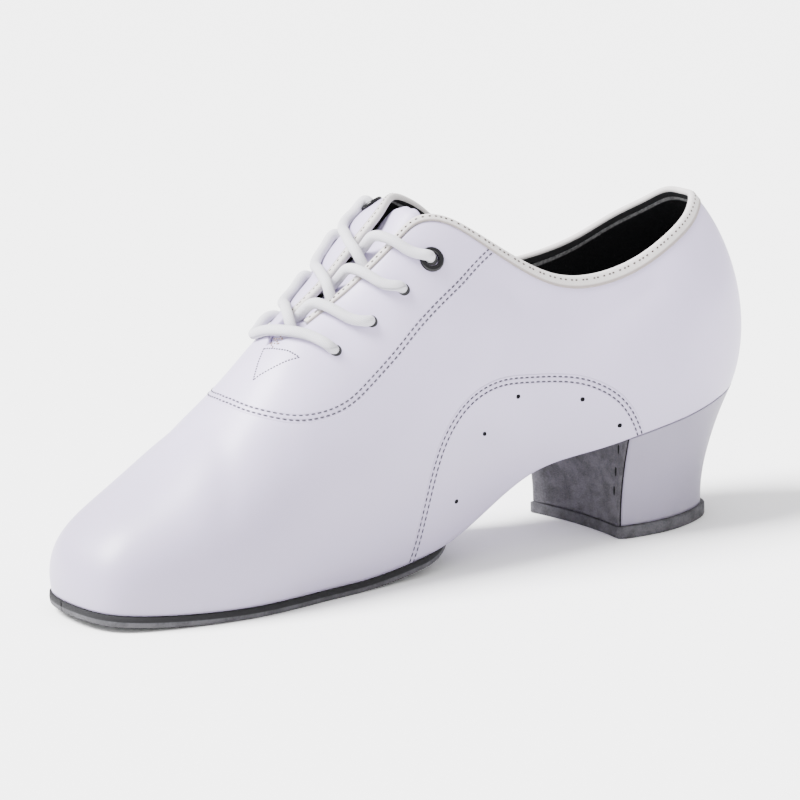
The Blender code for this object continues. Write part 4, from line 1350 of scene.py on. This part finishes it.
@dataclass
class Tongue:
    """Padded leather strip under the facings."""

    thick: float = 0.0024
    arch: float = 0.0030
    clear: float = 0.0004
    forward: float = 0.16
    columns: int = 110
    sides: int = 72
    bluntness: float = 0.8
    thin: float = 0.45
    tip: tuple[float, float] = (0.10, 0.35)  # length of the thin tip, its share of thickness
    bows: tuple[float, float] = (8.0, 7.1)
    table: tuple = (
        # rib number, half width on the medial and the lateral rib, depth below the wall
        (8.55, 0.130, 0.130, 0.0000), (8.05, 0.170, 0.150, -0.0002),
        (7.80, 0.180, 0.155, -0.0008),
        (7.40, 0.200, 0.168, 0.0012), (6.80, 0.235, 0.170, 0.0020),
        (6.30, 0.270, 0.165, 0.0022), (6.05, 0.285, 0.160, 0.0010),
        (5.88, 0.275, 0.155, 0.0006),
    )

    def build(self, palette: Palette) -> bpy.types.Object:
        """Loft the strip: a section across it at each of many rib numbers."""
        table = np.array(self.table)[::-1]
        q = np.linspace(table[0, 0], table[-1, 0], self.columns)
        row = spline(table[:, 0], table[:, 1:], q)
        t = np.linspace(0, 2 * np.pi, self.sides, endpoint=False)
        w = -np.cos(t)
        wide = np.sign(w) * np.abs(w) ** self.bluntness
        half = 0.5 * self.thick
        puff = np.sin(t) * (1 - self.thin * wide ** 4)
        reach, least = self.tip
        full = least + (1 - least) * smoothstep(0.0, reach, q - q[0])
        base = LAST.wall + self.clear + LAST.gap
        bowed = self.arch * smoothstep(*self.bows, q)
        sections = []
        for share, height in zip(wide, puff):
            width = np.where(share >= 0, row[:, 0], row[:, 1])
            drop = self.forward * share ** 2 * (q[-1] - q) / (q[-1] - q[0])
            u = np.where(share >= 0, q + drop, LAST.loop - q - drop)
            depth = base + row[:, 2] + half - half * height * full
            depth = depth + bowed * share ** 2
            sections.append(LAST.skin(u, 1 - np.abs(share) * width, depth))
        mesh = sweep(np.stack(sections, 1), "padded_tongue", (0.08, 0.08))
        return place(mesh, [palette.leather], ("tongue",))


@dataclass
class Lace:
    """One round cord through all the holes, ends hidden under the top eyelets."""

    radius: float = 0.0020
    sides: int = 16
    samples: int = 1600
    guide: tuple[float, float, float] = (0.0, -0.55, 0.83)
    under: float = 0.0043
    lean: float = 0.012          # rib numbers from a hole's middle to the cord in it
    lift: float = 0.009          # share of the rib from a hole's middle to the cord in it
    lift_under: float = 0.010
    inside: float = 0.0008       # depth of the stop in the hole
    over_ring: float = 0.0009    # how much higher the cord leaves a ring than a bare hole
    near: tuple = (
        # rib numbers past the hole, share of the rib, height over the leather, side
        (0.05, 0.705, 0.0015, 1), (0.18, 0.747, 0.0020, 1), (0.29, 0.823, 0.0022, 1),
        (0.355, 0.896, 0.0025, 1), (0.41, 0.954, 0.0022, 1), (0.49, 0.994, 0.0003, 1),
        (0.57, 0.965, -0.0022, -1), (0.59, 0.920, -0.0040, -1),
    )
    far: tuple = (
        (0.03, 0.778, 0.0013, 1), (0.16, 0.774, 0.0017, 1), (0.30, 0.788, 0.0018, 1),
        (0.42, 0.830, 0.0021, 1), (0.50, 0.900, 0.0026, 1), (0.58, 0.965, 0.0031, 1),
        (0.64, 0.985, 0.0026, -1), (0.70, 0.945, 0.0000, -1), (0.73, 0.900, -0.0032, -1),
    )

    def hole(self, row: int, side: Side) -> tuple[float, float]:
        """Rib number and share of a hole."""
        q, medial, lateral = LACE_HOLES[row]
        return q, medial if side is Side.MEDIAL else lateral

    def crossing(self, row: int, side: Side) -> list[np.ndarray]:
        """Points from inside a hole over its facing, the throat and under the other one."""
        q, v = self.hole(row, side)
        other = Side.LATERAL if side is Side.MEDIAL else Side.MEDIAL
        proud = self.over_ring if row == len(LACE_HOLES) - 1 else 0.0
        middle = loop_place(q + self.lean, side)
        points = [LAST.skin(middle, v + self.lift_under, self.under),
                  LAST.skin(middle, v + self.lift, self.inside)]
        for k, (ahead, share, height, same) in enumerate(
                self.near if side is Side.MEDIAL else self.far):
            here = side if same > 0 else other
            lift = height + (proud if k == 0 else 0.0)
            points.append(LAST.skin(loop_place(q + ahead, here), share, -lift))
        return points

    def bar(self) -> list[np.ndarray]:
        """Points of the straight bar, from inside the lateral hole to inside the medial."""
        q, v = self.hole(0, Side.LATERAL)
        p, w = self.hole(0, Side.MEDIAL)
        stops = [
            (Side.LATERAL, q + self.lean, v + self.lift_under, self.under),
            (Side.LATERAL, q + self.lean, v + self.lift, self.inside),
            (Side.LATERAL, q + 0.06, v + 0.010, -0.0015),
            (Side.LATERAL, q + 0.26, 0.785, -0.0018), (Side.LATERAL, q + 0.38, 0.840, -0.0021),
            (Side.LATERAL, q + 0.38, 0.930, -0.0022), (Side.MEDIAL, q + 0.34, 0.990, -0.0022),
            (Side.MEDIAL, p + 0.26, 0.890, -0.0021), (Side.MEDIAL, p + 0.15, 0.800, -0.0020),
            (Side.MEDIAL, p + 0.05, w + 0.024, -0.0015),
            (Side.MEDIAL, p + self.lean, w + self.lift, self.inside),
            (Side.MEDIAL, p + self.lean, w + self.lift_under, self.under),
        ]
        return [LAST.skin(loop_place(a, s), b, d) for s, a, b, d in stops]

    def route(self) -> np.ndarray:
        """Knots of the whole cord, from one top eyelet down to the bar and up again."""
        first = [Side.MEDIAL, Side.LATERAL, Side.MEDIAL]
        down = [p for row, side in zip((3, 2, 1), first) for p in self.crossing(row, side)]
        second = [Side.LATERAL, Side.MEDIAL, Side.LATERAL]
        up = [self.crossing(row, side)[::-1] for row, side in zip((1, 2, 3), second)]
        return np.array(down + self.bar() + [p for part in up for p in part])

    def build(self, palette: Palette) -> bpy.types.Object:
        """Sweep a round section along the route with a frame that hardly turns."""
        knots = self.route()
        far = run_lengths(knots)
        path = spline(far, knots, np.linspace(0, far[-1], self.samples))
        run = unit(np.gradient(path, axis=0))
        across = np.cross(run, self.guide)
        across /= np.maximum(np.linalg.norm(across, axis=1, keepdims=True), 1e-9)
        up = np.cross(across, run)
        t = np.linspace(0, 2 * np.pi, self.sides, endpoint=False)
        ring = np.cos(t)[:, None] * across[:, None] + np.sin(t)[:, None] * up[:, None]
        mesh = sweep(path[:, None] + self.radius * ring, "lace",
                     (far[-1], 2 * np.pi * self.radius))
        nodes = ("lace_bar_1", "lace_cross_2", "lace_cross_3", "lace_cross_4")
        LOG.info("lace length %.3f m", run_lengths(path)[-1])
        return place(mesh, [palette.cord], nodes)


@dataclass
class Eyelets:
    """Black enamelled rings at the top holes and bare punched rims at the others."""

    bore: float = 0.0024
    outer: float = 0.0046
    height: float = 0.0011
    barrel: float = 0.0014
    barrel_wall: float = 0.0006
    sink: float = 0.0002
    rim: float = 0.00240
    rim_half: tuple[float, float] = (0.00018, 0.00012)
    rim_proud: float = 0.00002

    def ring(self, name: str, u: float, v: float, profile: np.ndarray,
             finish: bpy.types.Material, replaced: tuple[str, ...]) -> None:
        """Turn a profile of radius and height round a hole's axis."""
        frame_ = Vector(LAST.outward(u, v)).to_track_quat("Z", "Y").to_matrix()
        turn = np.linspace(0, 2 * np.pi, 64, endpoint=False)
        r, z = profile[:, 0], profile[:, 1]
        local = np.stack([np.cos(turn)[:, None] * r, np.sin(turn)[:, None] * r,
                          z + 0 * turn[:, None]], -1)
        points = local @ np.array(frame_).T + leather(np.array([u]), np.array([v]))
        place(sweep(points, name, closed=True), [finish], replaced)

    def build(self, palette: Palette) -> None:
        """Make both rings and the rims."""
        t = np.linspace(0, np.pi, 12)
        middle, reach = 0.5 * (self.bore + self.outer), 0.5 * (self.outer - self.bore)
        rolled = np.stack([middle + reach * np.cos(t), self.height * np.sin(t) ** 0.8], -1)
        back = self.bore + self.barrel_wall
        barrel = np.array([[self.bore, -self.barrel], [back, -self.barrel],
                           [back, -self.sink], [self.outer, -self.sink]])
        profile = np.concatenate([rolled, barrel])
        q, medial, lateral = LACE_HOLES[-1]
        for side, v in zip(Side, (medial, lateral)):
            word = side.name.lower()
            u = float(loop_place(q, side))
            self.ring(f"ring_{word}", u, v, profile, palette.enamel, (f"eyelet_ring_{word}",))
        rim = np.stack([self.rim + self.rim_half[0] * np.cos(2 * t[:-1]),
                        self.rim_proud + self.rim_half[1] * np.sin(2 * t[:-1])], -1)
        for row, (q, medial, lateral) in enumerate(LACE_HOLES[:-1]):
            for side, v in zip(Side, (medial, lateral)):
                self.ring(f"punched_rim_{row + 1}_{side.name.lower()}",
                          float(loop_place(q, side)), v, rim, palette.leather, ())


@dataclass
class Sole:
    """Suede half sole with a painted shadow of the gap to the upper over its edge."""

    proud: float = 0.0008
    chamfer: float = 0.0007
    split_rear: float = 5.80
    split_full: float = 6.60
    belly: float = 0.00015
    belly_down: float = 0.45
    toe_stop: float = 0.03
    counts: tuple[int, int] = (30, 150)

    def build(self, palette: Palette) -> None:
        """Loft the sole across from the medial to the lateral edge at many ribs."""
        few, many = self.counts
        toe = LAST.last_rib - self.toe_stop
        q = np.concatenate([np.linspace(self.split_rear, self.split_full, few)[:-1],
                            np.linspace(self.split_full, toe, many)])
        back = np.clip((self.split_full - q) / (self.split_full - self.split_rear), 0, 0.997)
        share = np.sqrt(1 - back ** 2)[:, None]
        levels = [(0.0, -LAST.gap), (self.proud, -LAST.gap),
                  (self.proud + self.belly, -LAST.gap - self.belly_down * LAST.sole_thick),
                  (self.proud, -LAST.gap - LAST.sole_thick + self.chamfer),
                  (self.proud - 0.3 * self.chamfer,
                   -LAST.gap - LAST.sole_thick + 0.3 * self.chamfer),
                  (self.proud - self.chamfer, -LAST.gap - LAST.sole_thick)]
        left, right = [], []
        for proud, offset in levels:
            pair = [LAST.feather(loop_place(q, side), -proud) for side in Side]
            middle = 0.5 * (pair[0] + pair[1])
            for lines, edge in zip((left, right), pair):
                line = middle + share * (edge - middle)
                line[:, 2] = LAST.bottom(LAST.along(line), offset)
                lines.append(line)
        sections = np.stack(left + right[::-1], 1)
        mesh = sweep(sections, "suede_half_sole", (0.2, 0.2))
        # each level's share of the sole's height, which places the painted gap shadow
        rise = [1 + (offset + LAST.gap) / LAST.sole_thick for _, offset in levels]
        every = np.tile(rise + rise[::-1], len(mesh.vertices) // (2 * len(rise)))
        mask = mesh.attributes.new("rise", "FLOAT", "POINT")
        mask.data.foreach_set("value", every.astype(np.float32))
        place(mesh, [palette.suede], ("outsole",))


@dataclass
class Heel:
    """Leather-covered Cuban heel block, suede front flap with nails, and its lift."""

    length: float = 0.0620
    skew: float = 0.0060
    hollow: float = 0.0030
    cover: float = 0.0012
    lift_thick: float = 0.0045
    flare: float = 0.0016
    chamfer: float = 0.0006
    nail_downs: tuple[float, float, float] = (0.14, 0.40, 0.62)
    nail_half: tuple[float, float, float] = (0.0018, 0.0006, 0.00025)
    nail_from_edge: int = 4
    rim_reach: tuple[float, float] = (2.5, 5.0)  # rib numbers between which the breast meets
    rim_points: int = 70
    breast_points: int = 42
    rows_down: int = 44
    lift_round: float = 0.0006
    lift_bevel: float = 0.0003
    lift_ease: float = 0.0004
    levels: tuple = (
        # share of the way down, share of the seat's width, share of its length
        (0.00, 1.000, 1.000), (0.18, 0.945, 0.932), (0.43, 0.880, 0.858),
        (0.66, 0.838, 0.808), (0.87, 0.815, 0.785), (1.00, 0.812, 0.782),
    )

    @property
    def breast_y(self) -> float:
        """Place of the heel's front."""
        return LAST.length / 2 - self.length + LAST.shift[1]

    def plan(self) -> tuple[np.ndarray, int]:
        """Outline of the seat behind the breast, and how many points are on the breast."""
        probe = np.linspace(*self.rim_reach, 1001)
        lines = []
        for side, length in zip(Side, (self.length, self.length + self.skew)):
            along = LAST.along(LAST.surface(loop_place(probe, side), 0.0))
            end = float(np.interp(length, along, probe))
            lines.append(np.linspace(0, end, self.rim_points))
        loop = np.concatenate([lines[0][::-1], LAST.loop - lines[1][1:]]) % LAST.loop
        rim = LAST.surface(loop, 0.0)[:, :2]
        t = np.linspace(0, 1, self.breast_points)[1:-1]
        breast = rim[-1] + t[:, None] * (rim[0] - rim[-1])
        breast[:, 1] += self.hollow * (1 - (2 * t - 1) ** 2)
        return np.concatenate([rim, breast]), len(breast)

    def section(self, plan: np.ndarray, down: float, width: float,
                length: float) -> np.ndarray:
        """Outline at one level, drawn in about the middle and the breast."""
        x = (plan[:, 0] - LAST.shift[0]) * width + LAST.shift[0]
        y = self.breast_y + (plan[:, 1] - self.breast_y) * length
        top = LAST.bottom(LAST.along(plan), -LAST.gap)
        foot = self.lift_thick + LAST.gap
        return np.stack([x, y, top + (foot - top) * down], -1)

    def rows(self) -> np.ndarray:
        """The levels' table read densely."""
        table = np.array(self.levels)
        down = np.linspace(0, 1, self.rows_down)
        return np.column_stack([down, spline(table[:, 0], table[:, 1:], down)])

    def build(self, palette: Palette) -> None:
        """Make the block, the flap, its nails and the lift."""
        plan, count = self.plan()
        rim = len(plan) - count
        rows = self.rows()
        block = np.array([self.section(plan, *row) for row in rows])
        place(sweep(block, "heel_cover", (0.05, 0.2)), [palette.heel],
              ("heel_block",))
        order = np.array([rim - 1, *range(rim, len(plan)), 0])
        sections = []
        for row in rows:
            face = self.section(plan[order], *row)
            back = face - [0.0, LAST.gap, 0.0]
            front = face - [0.0, LAST.gap + self.cover, 0.0]
            front[[0, -1], 1] += 0.5 * self.cover
            if row[0] == 0:
                for line in (back, front):
                    line[:, 2] = LAST.bottom(LAST.along(line), -LAST.gap)
            sections.append(np.concatenate([back, front[::-1]]))
        mesh = sweep(np.array(sections), "heel_front_flap", (0.05, 0.2))
        second_finish(mesh, 2 * len(order), len(order) - 1, len(order))
        place(mesh, [palette.breast, palette.hole], ("heel_breast_cover",))
        self.nails(palette, plan[order])
        self.lift(palette, plan, rim)

    def nails(self, palette: Palette, line: np.ndarray) -> None:
        """Three dark marks down the near edge of the flap."""
        spots = []
        for down in self.nail_downs:
            table = np.array(self.levels)
            width, length = spline(table[:, 0], table[:, 1:], np.array(down))
            face = self.section(line, down, float(width), float(length))
            spots.append(face[-self.nail_from_edge] - [0.0, LAST.gap + self.cover, 0.0])
        middle = np.array(spots)
        run = np.tile([0.0, 0.0, 1.0], (len(middle), 1))
        normal = np.tile([0.0, -1.0, 0.0], (len(middle), 1))
        mesh = Cloud("heel_nails").mesh(middle, run, normal, self.nail_half)
        place(mesh, [palette.hole])

    def lift(self, palette: Palette, plan: np.ndarray, rim: int) -> None:
        """Flared top piece, flat on the floor."""
        foot = self.section(plan, *self.levels[-1])
        centre = np.array([LAST.shift[0], foot[:, 1].mean()])
        step = np.roll(foot[:, :2], -1, 0) - np.roll(foot[:, :2], 1, 0)
        normal = unit(np.stack([step[:, 1], -step[:, 0]], -1))
        normal *= np.sign(((foot[:, :2] - centre) * normal).sum(1).mean())
        front = np.zeros(len(plan))
        front[rim:] = 1.0
        front[[0, rim - 1]] = 1.0
        reach = LAST.gap + self.cover + 0.5 * self.chamfer
        sections = []
        for z, back in ((self.lift_thick, self.lift_round),
                        (self.lift_thick - self.lift_bevel, 0.0),
                        (self.chamfer, 0.0), (0.3 * self.chamfer, 0.3 * self.chamfer),
                        (0.0, self.chamfer)):
            flat = foot[:, :2] + (self.flare - back) * normal * (1 - front[:, None])
            flat[:, 1] -= front * (reach - back * (z < 0.5 * self.lift_thick))
            ends = flat[[0, rim - 1], 0] - LAST.shift[0]
            flat[[0, rim - 1], 0] += np.sign(ends) * (self.lift_ease - back)
            sections.append(np.column_stack([flat, np.full(len(flat), z)]))
        place(sweep(np.array(sections), "heel_lift_suede", (0.01, 0.2)), [palette.lift],
              ("heel_lift",))


@dataclass
class Inside:
    """Sock and waist leather, which keep their CAD shapes."""

    def build(self, palette: Palette) -> None:
        """Dress the CAD nodes that stay."""
        for name, finish in (("insole", palette.sock), ("waist_cover", palette.leather)):
            node = bpy.data.objects[name]
            for slot in node.material_slots:
                slot.material = finish
            LOG.info("dressed %s", name)


@dataclass
class Studio:
    """Pale floor, soft lights, and the camera at the photograph's angle."""

    azimuth: float = 58.73
    elevation: float = 13.52
    roll: float = -1.28
    distance: float = 1.40086
    aim_height: float = 0.050
    pixels_per_metre: float = 2750.0
    aim_pixel: tuple[float, float] = (403.59, 424.19)
    frame_pixels: float = 800.0
    sensor: float = 36.0
    floor_half: float = 12.0
    look_at: float = 0.05
    sky: float = 1.7
    key_place: tuple[float, float, float] = (-0.5, -1.3, 1.9)
    key_spread: float = 0.5
    key_power: float = 15.0
    front_place: tuple[float, float, float] = (-0.2, -1.7, 1.5)
    front_size: float = 0.9
    front_power: float = 15.0

    def camera(self) -> None:
        """Camera on its fitted line; the shift puts the aim on its pixel."""
        a, e, r = np.radians([self.azimuth, self.elevation, self.roll])
        back = np.array([np.sin(a) * np.cos(e), -np.cos(a) * np.cos(e), np.sin(e)])
        right = np.array([np.cos(a), np.sin(a), 0.0])
        up = np.cross(back, right)
        side = np.cos(r) * right + np.sin(r) * up
        top = -np.sin(r) * right + np.cos(r) * up
        data = bpy.data.cameras.new("photo_camera")
        data.sensor_width = self.sensor
        focal = self.pixels_per_metre * self.distance
        data.lens = focal * self.sensor / self.frame_pixels
        half = self.frame_pixels / 2
        data.shift_x = -(self.aim_pixel[0] - half) / self.frame_pixels
        data.shift_y = (self.aim_pixel[1] - half) / self.frame_pixels
        data.clip_end = 50.0
        camera = bpy.data.objects.new("photo_camera", data)
        aim = LAST.shift + np.array([0.0, 0.0, self.aim_height])
        turn = Matrix(np.stack([side, top, back], 1).tolist()).to_4x4()
        camera.matrix_world = Matrix.Translation(Vector(aim + back * self.distance)) @ turn
        bpy.context.scene.collection.objects.link(camera)
        bpy.context.scene.camera = camera

    def light(self, name: str, place_: tuple[float, float, float], size: float,
              power: float) -> None:
        """Square area light that faces the shoe."""
        data = bpy.data.lights.new(name, "AREA")
        data.size = size
        data.energy = power
        self.aim(bpy.data.objects.new(name, data), place_)

    def sun(self, name: str, place_: tuple[float, float, float], spread: float,
            power: float) -> None:
        """Wide far light from the direction of a place."""
        data = bpy.data.lights.new(name, "SUN")
        data.angle = spread
        data.energy = power
        self.aim(bpy.data.objects.new(name, data), place_)

    def aim(self, lamp: bpy.types.Object, place_: tuple[float, float, float]) -> None:
        """Put a lamp at a place and turn it to the shoe."""
        lamp.location = place_
        lamp.rotation_mode = "QUATERNION"
        away = Vector(place_) - Vector((0, 0, self.look_at))
        lamp.rotation_quaternion = away.to_track_quat("Z", "Y")
        bpy.context.scene.collection.objects.link(lamp)

    def build(self, palette: Palette) -> None:
        """Floor, sky and lamps."""
        self.camera()
        square = self.floor_half * np.array([[-1, -1, 0], [1, -1, 0], [1, 1, 0], [-1, 1, 0]])
        mesh = new_mesh("floor", square, np.array([[0, 1, 2, 3]]))
        mesh.materials.append(palette.paper)
        floor = bpy.data.objects.new("floor", mesh)
        bpy.context.scene.collection.objects.link(floor)
        world = bpy.data.worlds.new("studio")
        world.use_nodes = True
        sky = world.node_tree.nodes["Background"]
        sky.inputs["Color"].default_value = (1.0, 1.0, 1.0, 1.0)
        sky.inputs["Strength"].default_value = self.sky
        bpy.context.scene.world = world
        self.sun("key_sun", self.key_place, self.key_spread, self.key_power)
        self.light("front_light", self.front_place, self.front_size, self.front_power)


def main() -> None:
    """Build the shoe and the studio."""
    logging.basicConfig(level=logging.INFO, format="%(name)s: %(message)s")
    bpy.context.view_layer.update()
    palette = Palette()
    Studio().build(palette)
    Upper().build(palette)
    Stitching().build(palette)
    Binding().build(palette)
    Tongue().build(palette)
    Lace().build(palette)
    Eyelets().build(palette)
    Sole().build(palette)
    Heel().build(palette)
    Inside().build(palette)
    LOG.info("pieces done")


if __name__ == "__main__":
    main()
